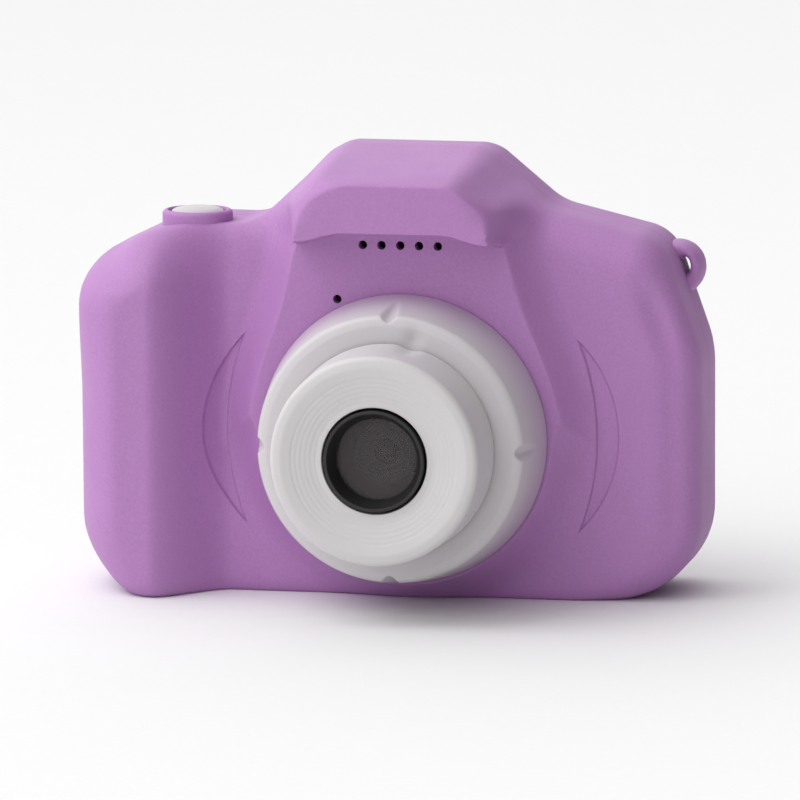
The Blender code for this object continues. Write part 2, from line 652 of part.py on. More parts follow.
def make_electronics():
    outline = rounded_rectangle(BOARD_W, BOARD_H, 7.4)
    middle = (-3.2, (BOARD_FRONT + BOARD_BACK) / 2, 22.0)
    main = as_mesh(plate("main_board", outline, middle, BOARD_BACK - BOARD_FRONT, FACING_BACK))
    main.data.materials.append(BOARD)
    for number, (x, z) in enumerate(CASE_SCREWS[:2]):
        cut(main, cylinder(f"board_hole_{number}", (x, 0, z), 1.3, 0.0, 3.0, "back", cutter=True, segments=12))
    box("processor_chip", (6.0, BOARD_BACK + GAP + 0.5, 26.0), (9.0, 1.0, 9.0), CHIP)
    box("memory_chip", (20.0, BOARD_BACK + GAP + 0.5, 26.0), (6.0, 1.0, 8.0), CHIP)
    box("flex_connector", (LENS_X, -0.1, 37.3), (8.0, 1.0, 1.6), CHIP)

    socket_y = SWITCH_FLOOR + 1.3
    usb = box("usb_socket", (-24.2, socket_y, 4.7), (7.6, 2.6, 5.4), METAL)
    cut(usb, box("usb_mouth", (-24.2, socket_y, 3.2), (6.8, 1.8, 4.4), cutter=True))
    cut(usb, box("usb_throat", (-24.2, socket_y, 5.0), (4.0, 1.0, 3.0), cutter=True))
    card_y = SWITCH_FLOOR + 0.8
    slot = box("card_socket", (-13.6, card_y, 10.4), (12.8, 1.6, 16.0), METAL)
    cut(slot, box("card_way", (-13.6, card_y, 9.2), (12.0, 1.1, 16.6), cutter=True))
    box("memory_card", (-13.6, card_y, 9.8), (11.0, 0.6, 14.8), CHIP)

    box("battery", (0.5, -4.1, 21.0), (35.0, 5.0, 25.0), POUCH, bevel=1.2)
    route = ((12.0, -4.1, 34.0), (13.0, -3.6, 36.5), (15.0, -1.5, 37.6), (15.0, 0.1, 37.6))
    wire("battery_lead_red", route, RED_WIRE)
    route = ((14.5, -4.1, 34.0), (15.5, -3.8, 35.6), (17.5, -1.5, 36.4), (17.5, 0.1, 36.4))
    wire("battery_lead_black", route, BLACK_WIRE)

    speaker_at = (HUMP_X, -COLUMN_FACE + WALL, 45.0)
    foam = [(4.9, -0.3), (6.3, -0.3), (6.3, -1.1), (4.9, -1.1)]
    turned("speaker_gasket", speaker_at, foam, "front", FOAM, segments=28, ring=True)
    can = [
        (0.0, -1.9), (4.4, -1.9), (4.8, -1.4), (6.4, -1.4), (6.5, -1.6), (6.5, -3.6), (4.0, -4.0), (4.0, -4.8),
        (0.0, -4.8),
    ]
    turned("speaker", speaker_at, can, "front", BLACK, segments=28)
    route = ((6.0, -8.1, 41.2), (6.6, -6.0, 40.4), (7.4, -3.0, 39.4), (8.6, 0.1, 38.6))
    wire("speaker_lead_red", route, RED_WIRE, 0.35)
    route = ((8.0, -8.2, 42.2), (9.0, -6.0, 41.2), (10.4, -3.0, 39.6), (11.0, 0.1, 38.6))
    wire("speaker_lead_black", route, BLACK_WIRE, 0.35)
    mic_at = (MIC_HOLE[0], -COLUMN_FACE + WALL, MIC_HOLE[1])
    cylinder("microphone", mic_at, 2.1, -2.0, -0.4, "front", METAL)

    make_screen()
    make_shutter()
    make_keys()


def make_screen():
    middle = (SCREEN_X, 0, SCREEN_Z)

    def at(y):
        return (middle[0], y, middle[2])

    plate("display_window", rounded_rectangle(SCREEN_W, SCREEN_H, 3.0), at(10.1), 0.8, FACING_BACK, GLASS)
    foam = as_mesh(plate("display_gasket", rounded_rectangle(45.0, 34.6, 2.0), at(7.7), 0.6, FACING_BACK))
    foam.data.materials.append(FOAM)
    cut(foam, box("gasket_window", at(7.7), (41.4, 3.0, 31.4), cutter=True))
    box("lcd_panel", at(6.75), (45.0, 0.7, 34.0), GLASS)
    box("lcd_frame", at(5.1), (45.8, 2.0, 35.0), METAL)
    ribbon = [(2.2, 5.0), (2.5, 5.0), (2.5, 5.7), (5.6, 5.7), (5.6, 6.0), (2.2, 6.0)]
    plate("lcd_flex", ribbon, (12.0, 0, 0), 12.0, FACING_SIDE, RIBBON)


def make_shutter():
    at = (SHUTTER_X, SHUTTER_Y, 0)
    top = COLLAR_TOP + 0.05
    cap = [
        (0.0, top + 0.35), (1.6, top + 0.3), (2.7, top + 0.12), (3.15, top - 0.1), (SHUTTER_R, top - 0.4),
        (SHUTTER_R, 44.2), (1.6, 44.2), (1.6, 42.2), (0.0, 42.2),
    ]
    turned("shutter_button", at, cap, "up", WHITE, segments=28)
    cylinder("shutter_plunger", at, 1.3, 39.4, 41.9, "up", BLACK)
    switch = box("shutter_switch", (SHUTTER_X, SHUTTER_Y, 39.3), (5.0, 5.0, 3.0), BLACK)
    cut(switch, cylinder("switch_well", at, 1.6, 38.4, 42.0, "up", cutter=True))
    box("shutter_board", (SHUTTER_X, -3.4, 37.1), (10.0, 7.6, 0.8), BOARD)


DIRECTIONS = tuple((f"{way}_key", math.radians(90 * i)) for i, way in enumerate(("left", "up", "right", "down")))


def round_key(name, x, z, radius):
    """A round key cap with a slim stem that reaches into its switch."""
    top = REAR_FACE + KEYS_PROUD
    profile = [
        (0.0, top), (radius - 0.6, top), (radius - 0.15, top - 0.15), (radius, top - 0.6), (radius, 7.4),
        (1.4, 7.4), (1.4, 4.1), (0.9, 4.1), (0.9, 3.1), (0.0, 3.1),
    ]
    turned(name, (x, 0, z), profile, "back", WHITE, segments=24)


def key_switch(name, x, z):
    """A dome switch on the main board. Its open well takes the key's stem."""
    body = box(name, (x, SWITCH_FLOOR + 0.7, z), (4.4, 1.4, 4.4), BLACK)
    cut(body, cylinder(f"{name}_well", (x, 0, z), 1.3, SWITCH_FLOOR + 0.3, 5.0, "back", cutter=True, segments=14))


def make_keys():
    round_key("ok_key", PAD_X, PAD_Z, OK_R)
    key_switch("ok_switch", PAD_X, PAD_Z)
    for name, (x, z) in (("power", POWER_KEY), ("mode", MODE_KEY)):
        round_key(f"{name}_key", x, z, SMALL_KEY_R)
        key_switch(f"{name}_switch", x, z)
    top = REAR_FACE + KEYS_PROUD
    for name, angle in DIRECTIONS:
        sector = ring_sector(PAD_INNER, PAD_OUTER, angle, PAD_SPREAD)
        key = as_mesh(plate(name, sector, (PAD_X, (top + 7.4) / 2, PAD_Z), top - 7.4, FACING_BACK))
        key.data.materials.append(WHITE)
        reach = (PAD_INNER + PAD_OUTER) / 2
        x, z = PAD_X + reach * math.cos(angle), PAD_Z + reach * math.sin(angle)
        stem = [(0.0, 8.4), (1.4, 8.4), (1.4, 4.1), (0.9, 4.1), (0.9, 3.1), (0.0, 3.1)]
        join(key, turned(f"{name}_stem", (x, 0, z), stem, "back", cutter=True, segments=14))
        key_switch(name.replace("key", "switch"), x, z)


# ---------------------------------------------------------------- port cover and screws


def make_port_cover():
    flap = rounded_rectangle(PORT_W, PORT_D, 1.6)
    cover = as_mesh(plate("port_cover", flap, (PORT_X, PORT_Y, 0.9), 1.3, FACING_DOWN))
    cover.data.materials.append(RUBBER)
    nick_at = (PORT_X, PORT_Y - PORT_D / 2 - 0.5, 0)
    cut(cover, cylinder("nail_nick", nick_at, 1.1, -1.0, 0.7, "up", cutter=True, segments=14))


def make_case_screws():
    """A pan-head screw at the bottom of each well, into its boss in the front shell."""
    profile = [(0.0, 7.5), (0.55, 8.0), (1.3, 8.0), (1.9, 7.5), (1.9, 6.7), (0.9, 6.7), (0.9, -5.6), (0.0, -6.2)]
    for number, (x, z) in enumerate(CASE_SCREWS, 1):
        turned(f"case_screw_{number}", (x, 0, z), profile, "back", METAL, segments=16)


def shade_round_pieces():
    """Smooth shading with sharp edges kept, on every piece that is a mesh."""
    for obj in camera_parts.objects:
        if obj.type == "MESH":
            obj.data.shade_smooth()
            obj.data.set_sharp_from_angle(angle=math.radians(35))


make_front_shell()
make_rear_shell()
make_lens_group()
make_electronics()
make_port_cover()
make_case_screws()
shade_round_pieces()
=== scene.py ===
"""Looks of the kids digital camera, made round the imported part.

Lengths are millimetres in the design frame: +X to the right as the lens faces you, +Y to the back, +Z up
and Y = 0 on the seam between the two shells. build() takes them to metres in the frame's place.
"""

import math

import bmesh
import bpy
import numpy as np
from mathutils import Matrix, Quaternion, Vector


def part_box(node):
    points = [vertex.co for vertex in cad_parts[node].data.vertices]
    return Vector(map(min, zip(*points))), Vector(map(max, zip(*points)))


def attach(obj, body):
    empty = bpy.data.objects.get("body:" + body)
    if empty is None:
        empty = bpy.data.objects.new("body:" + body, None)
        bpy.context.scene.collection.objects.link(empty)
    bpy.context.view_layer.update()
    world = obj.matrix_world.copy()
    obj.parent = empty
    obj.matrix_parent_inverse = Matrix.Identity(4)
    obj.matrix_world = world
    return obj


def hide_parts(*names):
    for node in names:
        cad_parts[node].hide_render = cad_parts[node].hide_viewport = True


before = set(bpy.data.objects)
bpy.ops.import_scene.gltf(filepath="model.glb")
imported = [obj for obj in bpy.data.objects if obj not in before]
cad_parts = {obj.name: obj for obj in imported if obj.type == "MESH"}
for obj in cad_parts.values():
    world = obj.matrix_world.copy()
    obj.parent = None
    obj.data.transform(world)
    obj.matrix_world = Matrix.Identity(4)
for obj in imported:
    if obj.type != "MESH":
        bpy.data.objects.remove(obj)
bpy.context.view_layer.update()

MM = 0.001

# ---------------------------------------------------------------- dimensions shared with the part
WALL = 1.6
GAP = 0.3
FRONT_FACE = 9.5
COLUMN_RISE = 4.5
BROW_RISE = 5.5
GRIP_RISE = 7.8
REAR_FACE = 10.5
LENS_X, LENS_Z = 3.7, 20.9
HUMP_X = 3.2
HUMP_SLOPE = 7.8       # how fast the hump's top runs forward for each millimetre down
COLUMN_FACE = FRONT_FACE + COLUMN_RISE
OUTLINE = (
    (-39.85, 0.0, 9.5),
    (39.85, 0.0, 10.5),
    (39.85, 31.0, 14.0),
    (34.8, 45.4, 6.0),
    (20.4, 48.9, 8.0),
    (11.9, 56.0, 5.4),
    (-7.4, 56.1, 4.5),
    (-16.6, 46.6, 7.0),
    (-27.6, 46.8, 18.0),
    (-39.85, 40.9, 8.0),
)
OPENING_R = 16.2
PEDESTAL_R = 19.0
HOLE_R = 0.55
SPEAKER_HOLES = [(HUMP_X + 0.15 + 2.38 * i, 45.1) for i in range(-2, 3)]
MIC_HOLE = (-4.7, 38.2)
SHUTTER_X, SHUTTER_Y = -24.6, -5.2
COLLAR_R, COLLAR_TOP = 4.45, 48.0
SHUTTER_R = 3.35
SCREEN_X, SCREEN_Z = 7.4, 24.0
SCREEN_W, SCREEN_H = 44.0, 34.0
PAD_X, PAD_Z = -26.0, 22.0
PAD_INNER, PAD_OUTER, PAD_SPREAD = 4.7, 9.0, math.radians(37)
OK_R, SMALL_KEY_R = 3.4, 2.4
POWER_KEY, MODE_KEY = (-30.8, 37.8), (-20.8, 37.8)
SWITCH_FLOOR = 2.2
CASE_SCREWS = ((-33.8, 32.2), (-32.2, 8.0), (33.4, 29.0), (33.4, 10.0))
PORT_X, PORT_W = -18.2, 20.8
PORT_Y, PORT_D = 3.5, 3.4
EYELET_X, EYELET_Z, EYELET_R = 35.2, 40.7, 3.55
LENS_AT = (LENS_X, -COLUMN_FACE, LENS_Z)
SEAM_GAP = 0.04        # half the hairline between the shells
KEY_TOP = 11.3         # face of the key caps, just under their printed symbols

LENS_REACH = 18.8
# where the design's Y = 0 lies in the frame
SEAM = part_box("lens_tube")[0].y / MM + COLUMN_FACE + LENS_REACH

# ---------------------------------------------------------------- mesh tools


def build(name, points, faces, material=None):
    """A mesh object from design points, with its faces turned outwards."""
    placed = (np.asarray(points, float) + (0.0, SEAM, 0.0)) * MM
    mesh = bpy.data.meshes.new(name)
    mesh.from_pydata(placed.tolist(), [], faces)
    work = bmesh.new()
    work.from_mesh(mesh)
    bmesh.ops.recalc_face_normals(work, faces=work.faces)
    work.to_mesh(mesh)
    work.free()
    obj = bpy.data.objects.new(name, mesh)
    bpy.context.scene.collection.objects.link(obj)
    if material is not None:
        mesh.materials.append(material)
    return obj


def joined(parts):
    """One object that holds the separate solids of several."""
    work = bmesh.new()
    for part in parts:
        work.from_mesh(part.data)
    work.to_mesh(parts[0].data)
    work.free()
    for part in parts[1:]:
        bpy.data.objects.remove(part, do_unlink=True)
    return parts[0]


def combine(target, parts, operation):
    """Cuts parts that don't meet each other from the target, or joins them on, and keeps the result."""
    other = joined(parts)
    step = target.modifiers.new("combine", "BOOLEAN")
    step.operation = operation
    step.solver = "EXACT"
    step.object = other
    graph = bpy.context.evaluated_depsgraph_get()
    mesh = bpy.data.meshes.new_from_object(target.evaluated_get(graph))
    target.modifiers.clear()
    target.data = mesh
    bpy.data.objects.remove(other, do_unlink=True)
    return target


def piece(obj, body, nodes, sharp=30):
    """Shades a finished piece, says what it rides on and hides the parts it replaces."""
    obj.data.shade_smooth()
    obj.data.set_sharp_from_angle(angle=math.radians(sharp))
    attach(obj, body)
    if nodes:
        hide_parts(*nodes)
    return obj


def smooth(low, high, value):
    """0 below low, 1 above high, and an S curve between."""
    t = np.clip((value - low) / (high - low), 0.0, 1.0)
    return t * t * (3.0 - 2.0 * t)


def bell(distance, width):
    """1 at zero distance, fading to 0 over about two widths."""
    return np.exp(-((distance / width) ** 2))


def fillet(back, here, ahead, radius, steps):
    """Points of the arc that rounds a corner, and the outward normal at each."""
    back, ahead = back - here, ahead - here
    room = 0.49 * min(np.linalg.norm(back), np.linalg.norm(ahead))
    back, ahead = back / np.linalg.norm(back), ahead / np.linalg.norm(ahead)
    turn = math.pi - math.acos(np.clip(back @ ahead, -1, 1))
    radius = min(radius, room / math.tan(turn / 2))
    sign = 1.0 if ahead[0] * back[1] - ahead[1] * back[0] > 0 else -1.0
    middle = (back + ahead) / np.linalg.norm(back + ahead)
    centre = here + middle * radius / math.cos(turn / 2)
    start = back * radius * math.tan(turn / 2) + here - centre
    count = max(2, steps(turn))
    found = []
    for k in range(count + 1):
        a = sign * turn * k / count
        spoke = np.array((
            start[0] * math.cos(a) - start[1] * math.sin(a),
            start[0] * math.sin(a) + start[1] * math.cos(a),
        ))
        found.append((centre + spoke, sign * spoke / radius))
    return found


def profile(corners, closed=False, step=0.4):
    """A turned profile from (radius, height, fillet) corners, with long runs divided."""
    flat = [np.array(c[:2], float) for c in corners]
    count = len(flat)
    points = []
    for i, corner in enumerate(corners):
        end = not closed and i in (0, count - 1)
        if end or corner[2] == 0:
            points.append(flat[i])
        else:
            after = flat[(i + 1) % count]
            arc = fillet(flat[i - 1], flat[i], after, corner[2], lambda turn: math.ceil(turn / 0.2))
            points.extend(p for p, _ in arc)
    divided = []
    pairs = zip(points, points[1:] + points[:1]) if closed else zip(points, points[1:])
    for a, b in pairs:
        pieces = max(1, math.ceil(np.linalg.norm(b - a) / step))
        divided.extend(a + (b - a) * k / pieces for k in range(pieces))
    if not closed:
        divided.append(points[-1])
    return np.array(divided)


def loft(rings, closed=False, capped=False):
    """Quads between neighbouring rings of equal counts. Closed joins the last ring to the first, and
    capped closes each end with one face."""
    count = len(rings[0])
    points = np.concatenate(rings)
    faces = []
    for r in range(len(rings) if closed else len(rings) - 1):
        a, b = r * count, ((r + 1) % len(rings)) * count
        for k in range(count):
            n = (k + 1) % count
            faces.append((a + k, a + n, b + n, b + k))
    if capped:
        faces.append(tuple(range(count)))
        faces.append(tuple(range(len(points) - count, len(points))))
    return points, faces


def turned(name, centre, outline, way, material=None, segments=96, ring=False, shape=None):
    """A profile turned round an axis to the front, to the back or up. A ring's profile is a closed loop.
    Any other starts and ends on the axis, where it is closed by a fan. shape(r, h, angle) may move points."""
    angle = np.linspace(0, 2 * math.pi, segments, endpoint=False)
    rings = []
    for radius, height in outline:
        r = np.full(segments, max(radius, 0.0))
        h = np.full(segments, height)
        if shape is not None:
            r, h = shape(r, h, angle)
        across, up = r * np.cos(angle), r * np.sin(angle)
        if way == "up":
            rings.append(np.column_stack((centre[0] + across, centre[1] + up, h)))
        else:
            out = -h if way == "front" else h
            rings.append(np.column_stack((centre[0] + across, centre[1] + out, centre[2] + up)))
    if ring:
        points, faces = loft(rings, closed=True)
        return build(name, points, faces, material)
    points, faces = loft(rings[1:-1])
    tips = [rings[0].mean(axis=0), rings[-1].mean(axis=0)]
    last = len(points) - segments
    for tip, start in ((len(points), 0), (len(points) + 1, last)):
        faces.extend((tip, start + k, start + (k + 1) % segments) for k in range(segments))
    return build(name, np.vstack((points, tips)), faces, material)


def circle_outline(radius, steps=64):
    angle = np.linspace(0, 2 * math.pi, steps, endpoint=False)
    normals = np.column_stack((np.cos(angle), np.sin(angle)))
    return normals * radius, normals


def rectangle_outline(width, height, radius, steps=10):
    """A rectangle with round corners, anticlockwise, and the outward normal at each point."""
    points, normals = [], []
    for quarter, (sx, sz) in enumerate(((1, 1), (-1, 1), (-1, -1), (1, -1))):
        for step in range(steps + 1):
            angle = math.radians(90) * (quarter + step / steps)
            normal = np.array((math.cos(angle), math.sin(angle)))
            points.append(np.array((sx * (width / 2 - radius), sz * (height / 2 - radius))) + radius * normal)
            normals.append(normal)
    return np.array(points), np.array(normals)


def sector_outline(middle, corner, inner=PAD_INNER, outer=PAD_OUTER, spread=PAD_SPREAD):
    """A sector of a ring with rounded corners, and the outward normal at each point."""
    far, near = outer - corner, inner + corner
    far_half = spread - math.asin(corner / far)
    near_half = spread - math.asin(corner / near)
    square = math.pi / 2
    runs = (
        (far, -far_half, far_half, -far_half, far_half, 16),
        (far, far_half, far_half, far_half, spread + square, 6),
        (near, near_half, near_half, spread + square, near_half + 2 * square, 6),
        (near, near_half, -near_half, near_half + 2 * square, -near_half + 2 * square, 12),
        (near, -near_half, -near_half, 2 * square - near_half, 3 * square - spread, 6),
        (far, -far_half, -far_half, 3 * square - spread, 4 * square - far_half, 6),
    )
    points, normals = [], []
    for radius, start, end, normal_start, normal_end, steps in runs:
        for k in range(steps):
            share = (k + 0.5) / steps
            a = middle + start + (end - start) * share
            n = middle + normal_start + (normal_end - normal_start) * share
            normal = np.array((math.cos(n), math.sin(n)))
            points.append(radius * np.array((math.cos(a), math.sin(a))) + corner * normal)
            normals.append(normal)
    return np.array(points), np.array(normals)


def stack(name, outline, centre, levels, material=None, flat=False):
    """A solid whose outline grows by the offset at each (offset, height) level. It faces back, and its
    heights are Y. A flat one lies down instead, and its heights are Z."""
    points, normals = outline
    rings = []
    for offset, height in levels:
        grown = points + normals * offset
        level = np.full(len(grown), height)
        if flat:
            rings.append(np.column_stack((centre[0] + grown[:, 0], centre[1] + grown[:, 1], level)))
        else:
            rings.append(np.column_stack((centre[0] + grown[:, 0], level, centre[1] + grown[:, 1])))
    return build(name, *loft(rings, capped=True), material)


def eased(face, edge, low, way=1):
    """Levels of a cutter through a face: straight, then flared so that the opening's rim is rounded."""
    levels = [(0.0, low)]
    for k in range(7):
        a = math.radians(90) * k / 6
        levels.append((edge * (1 - math.cos(a)), face - way * edge * (1 - math.sin(a))))
    return [*levels, (edge, face + way * 2.0)]


def softened(low, high, edge, low_edge=0.15):
    """Levels of a solid between two heights with both its rims rounded."""
    levels = []
    for k in range(5):
        a = math.radians(90) * k / 4
        levels.append((-low_edge * (1 - math.sin(a)), low + low_edge * (1 - math.cos(a))))
    for k in range(9):
        a = math.radians(90) * k / 8
        levels.append((-edge * (1 - math.cos(a)), high - edge * (1 - math.sin(a))))
    return levels


# ---------------------------------------------------------------- materials


def new_material(name, roughness, metallic=0.0, **settings):
    """A Principled material. Settings are sockets that are the same all over."""
    made = bpy.data.materials.new(name)
    made.use_nodes = True
    shader = made.node_tree.nodes["Principled BSDF"]
    shader.inputs["Roughness"].default_value = roughness
    shader.inputs["Metallic"].default_value = metallic
    for key, value in settings.items():
        shader.inputs[key.replace("_", " ")].default_value = value
    return made


def add_node(tree, kind, inputs, **settings):
    """A node with its inputs linked from sockets or set to values."""
    made = tree.nodes.new(kind)
    for key, value in settings.items():
        setattr(made, key, value)
    for key, value in inputs.items():
        if isinstance(value, bpy.types.NodeSocket):
            tree.links.new(value, made.inputs[key])
        else:
            made.inputs[key].default_value = value
    return made


def noise(tree, size, detail=2.0, stretch=(1, 1, 1)):
    """A noise whose features are about size millimetres across, fixed to the object."""
    coords = add_node(tree, "ShaderNodeTexCoord", {})
    mapping = add_node(tree, "ShaderNodeMapping", {"Vector": coords.outputs["Object"], "Scale": stretch})
    made = add_node(tree, "ShaderNodeTexNoise", {
        "Vector": mapping.outputs["Vector"], "Scale": 1 / (size * MM), "Detail": detail, "Roughness": 0.6,
    })
    return made.outputs["Fac"]


def spread_of(tree, value, low, high, start=0.3, end=0.7):
    """A noise value taken to a range."""
    made = add_node(tree, "ShaderNodeMapRange", {
        "Value": value, "From Min": start, "From Max": end, "To Min": low, "To Max": high,
    })
    return made.outputs["Result"]


def mixed(tree, share, first, second):
    """A blend of two colours by a share."""
    made = add_node(tree, "ShaderNodeMix", {0: share, 6: (*first, 1), 7: (*second, 1)}, data_type="RGBA")
    return made.outputs[2]


def tint(colour, share):
    return tuple(min(1.0, c * share) for c in colour)


def moulded(name, colour, roughness, grain=0.3, spread=0.04, relief=0.008, wide=9.0, **settings):
    """Moulded plastic or rubber: a fine spark-eroded grain in colour and relief, and a slow drift of
    tone and gloss over the piece, as handling leaves."""
    made = new_material(name, roughness, **settings)
    tree = made.node_tree
    shader = tree.nodes["Principled BSDF"]
    fine = noise(tree, grain, 3.0)
    slow = noise(tree, wide, 2.0)
    share = spread_of(tree, fine, 0.0, 1.0)
    speckled = mixed(tree, share, tint(colour, 1 - spread), tint(colour, 1 + spread))
    drift = add_node(tree, "ShaderNodeMix", {
        0: spread_of(tree, slow, 0.0, 0.35), 6: speckled, 7: (*tint(colour, 1 - spread * 0.7), 1),
    }, data_type="RGBA")
    tree.links.new(drift.outputs[2], shader.inputs["Base Color"])
    tree.links.new(spread_of(tree, slow, roughness - 0.04, roughness + 0.05), shader.inputs["Roughness"])
    if relief:
        bump = add_node(tree, "ShaderNodeBump", {"Height": fine, "Distance": relief * MM, "Strength": 1.0})
        tree.links.new(bump.outputs["Normal"], shader.inputs["Normal"])
    return made


def painted_light_tint(made, colour, start, end, share):
    """Painted light: tints a material towards another colour from one design Y to another, standing in for
    the coloured light that the lilac body bounces onto the piece and through its thin plastic."""
    tree = made.node_tree
    shader = tree.nodes["Principled BSDF"]
    coords = add_node(tree, "ShaderNodeTexCoord", {})
    parts = add_node(tree, "ShaderNodeSeparateXYZ", {"Vector": coords.outputs["Object"]})
    reach = add_node(tree, "ShaderNodeMapRange", {
        "Value": parts.outputs["Y"], "From Min": (start + SEAM) * MM, "From Max": (end + SEAM) * MM,
        "To Min": 0.0, "To Max": share,
    })
    under = shader.inputs["Base Color"].links[0].from_socket
    tone = add_node(tree, "ShaderNodeMix", {
        0: reach.outputs["Result"], 6: under, 7: (*colour, 1),
    }, data_type="RGBA")
    tree.links.new(tone.outputs[2], shader.inputs["Base Color"])
    return made


def brushed(name, colour, roughness, stretch, metallic=1.0):
    """Plated or foil metal with fine lines along one way and dull patches."""
    made = new_material(name, roughness, metallic)
    tree = made.node_tree
    shader = tree.nodes["Principled BSDF"]
    lines = noise(tree, 0.12, 2.0, stretch)
    patches = noise(tree, 2.5, 3.0)
    tone = mixed(tree, spread_of(tree, patches, 0.0, 1.0), tint(colour, 0.88), colour)
    tree.links.new(tone, shader.inputs["Base Color"])
    tree.links.new(spread_of(tree, lines, roughness - 0.08, roughness + 0.12), shader.inputs["Roughness"])
    bump = add_node(tree, "ShaderNodeBump", {"Height": lines, "Distance": 0.004 * MM, "Strength": 1.0})
    tree.links.new(bump.outputs["Normal"], shader.inputs["Normal"])
    return made


def foam(name, colour):
    """Open foam: dark cells that pit its surface."""
    made = new_material(name, 0.95)
    tree = made.node_tree
    shader = tree.nodes["Principled BSDF"]
    coords = add_node(tree, "ShaderNodeTexCoord", {})
    cells = add_node(tree, "ShaderNodeTexVoronoi", {
        "Vector": coords.outputs["Object"], "Scale": 1 / (0.25 * MM),
    })
    share = spread_of(tree, cells.outputs["Distance"], 0.0, 1.0, 0.1, 0.6)
    tone = mixed(tree, share, tint(colour, 0.5), tint(colour, 1.6))
    tree.links.new(tone, shader.inputs["Base Color"])
    bump = add_node(tree, "ShaderNodeBump", {
        "Height": cells.outputs["Distance"], "Distance": 0.08 * MM, "Strength": 1.0,
    })
    tree.links.new(bump.outputs["Normal"], shader.inputs["Normal"])
    return made


def laminate(name, mask_green, trace_green):
    """A circuit board: copper traces under the solder mask show as lighter lines on a square grid."""
    made = new_material(name, 0.38)
    tree = made.node_tree
    shader = tree.nodes["Principled BSDF"]
    coords = add_node(tree, "ShaderNodeTexCoord", {})
    lines = add_node(tree, "ShaderNodeTexBrick", {
        "Vector": coords.outputs["Object"],
        "Color1": (0, 0, 0, 1), "Color2": (0, 0, 0, 1), "Mortar": (1, 1, 1, 1),
        "Scale": 1 / (4.0 * MM), "Mortar Size": 0.04, "Mortar Smooth": 0.2,
    })
    weave = noise(tree, 0.4, 2.0)
    tone = mixed(tree, lines.outputs["Color"], mask_green, trace_green)
    tree.links.new(tone, shader.inputs["Base Color"])
    tree.links.new(spread_of(tree, weave, 0.32, 0.46), shader.inputs["Roughness"])
    bump = add_node(tree, "ShaderNodeBump", {
        "Height": lines.outputs["Fac"], "Distance": 0.03 * MM, "Strength": 0.6,
    })
    tree.links.new(bump.outputs["Normal"], shader.inputs["Normal"])
    return made


def striped(name, base, line, pitch, axis):
    """A flat flexible cable: fine conductors under a film, side by side along one axis."""
    made = new_material(name, 0.35)
    tree = made.node_tree
    shader = tree.nodes["Principled BSDF"]
    coords = add_node(tree, "ShaderNodeTexCoord", {})
    wave = add_node(tree, "ShaderNodeTexWave", {
        "Vector": coords.outputs["Object"], "Scale": 0.314 / (pitch * MM), "Distortion": 0.0,
    }, bands_direction=axis)
    tone = mixed(tree, spread_of(tree, wave.outputs["Fac"], 0.0, 1.0, 0.35, 0.65), base, line)
    tree.links.new(tone, shader.inputs["Base Color"])
    bump = add_node(tree, "ShaderNodeBump", {
        "Height": wave.outputs["Fac"], "Distance": 0.02 * MM, "Strength": 1.0,
    })
    tree.links.new(bump.outputs["Normal"], shader.inputs["Normal"])
    return made


def glassy(name, colour, roughness, ior=1.45, smudge=0.03, **settings):
    """Clear or dark optical plastic with faint wiping marks in its gloss."""
    made = new_material(name, roughness, IOR=ior, **settings)
    tree = made.node_tree
    shader = tree.nodes["Principled BSDF"]
    haze = noise(tree, 6.0, 4.0)
    tone = mixed(tree, spread_of(tree, haze, 0.0, 1.0), tint(colour, 0.97), colour)
    tree.links.new(tone, shader.inputs["Base Color"])
    tree.links.new(spread_of(tree, haze, roughness, roughness + smudge), shader.inputs["Roughness"])
    return made


LILAC = moulded("lilac_soft_touch", (0.435, 0.205, 0.480), 0.58, grain=0.32, spread=0.07, relief=0.012)
# a slightly darker and glossier lilac for the floors of the two crescent recesses
LILAC_RECESS_FLOOR = moulded(
    "lilac_recess_floor", (0.430, 0.200, 0.475), 0.5, grain=0.32, spread=0.06, relief=0.006
)
WHITE = moulded("satin_white_plastic", (0.62, 0.60, 0.61), 0.45, grain=0.22, spread=0.012, relief=0.002)
# slightly pinker white for the base ring; the tint below adds painted lilac light towards its foot
WHITE_FOOT = moulded(
    "satin_white_painted_lilac_light", (0.61, 0.58, 0.60), 0.45, grain=0.22, spread=0.012, relief=0.002
)
KEY_WHITE = moulded("key_white_plastic", (0.56, 0.52, 0.55), 0.38, grain=0.25, spread=0.012, relief=0.002)
# painted light: the lilac tint on the base ring's foot stands in for light bounced off the lilac body and
# through the thin white plastic
painted_light_tint(WHITE_FOOT, (0.42, 0.25, 0.45), -21.5, -14.5, 0.6)
SYMBOL = moulded("symbol_print", (0.24, 0.10, 0.28), 0.5, grain=0.15, spread=0.05, relief=0.002)
BLACK = moulded("black_plastic", (0.012, 0.011, 0.012), 0.32, grain=0.2, spread=0.15, relief=0.002)
OPTIC_BLACK = moulded("optics_black", (0.050, 0.045, 0.047), 0.6, grain=0.15, spread=0.08, relief=0.0)
SHADE_BLACK = moulded(
    "black_hood_plastic", (0.010, 0.0095, 0.010), 0.45, grain=0.25, spread=0.2, relief=0.004
)
RUBBER = moulded("lilac_rubber", (0.405, 0.190, 0.450), 0.72, grain=0.4, spread=0.06, relief=0.015)
CHIP = moulded("chip_resin", (0.028, 0.028, 0.030), 0.62, grain=0.2, spread=0.15, relief=0.01)
FOAM = foam("black_foam", (0.02, 0.02, 0.02))
BOARD = laminate("circuit_board", (0.015, 0.11, 0.045), (0.05, 0.24, 0.10))
STEEL = brushed("plated_steel", (0.62, 0.61, 0.59), 0.30, (1, 1, 8))
FOIL = brushed("battery_foil", (0.66, 0.66, 0.68), 0.36, (1, 8, 1), 0.85)
RIBBON = striped("ribbon_cable", (0.50, 0.24, 0.04), (0.30, 0.12, 0.02), 0.5, "X")
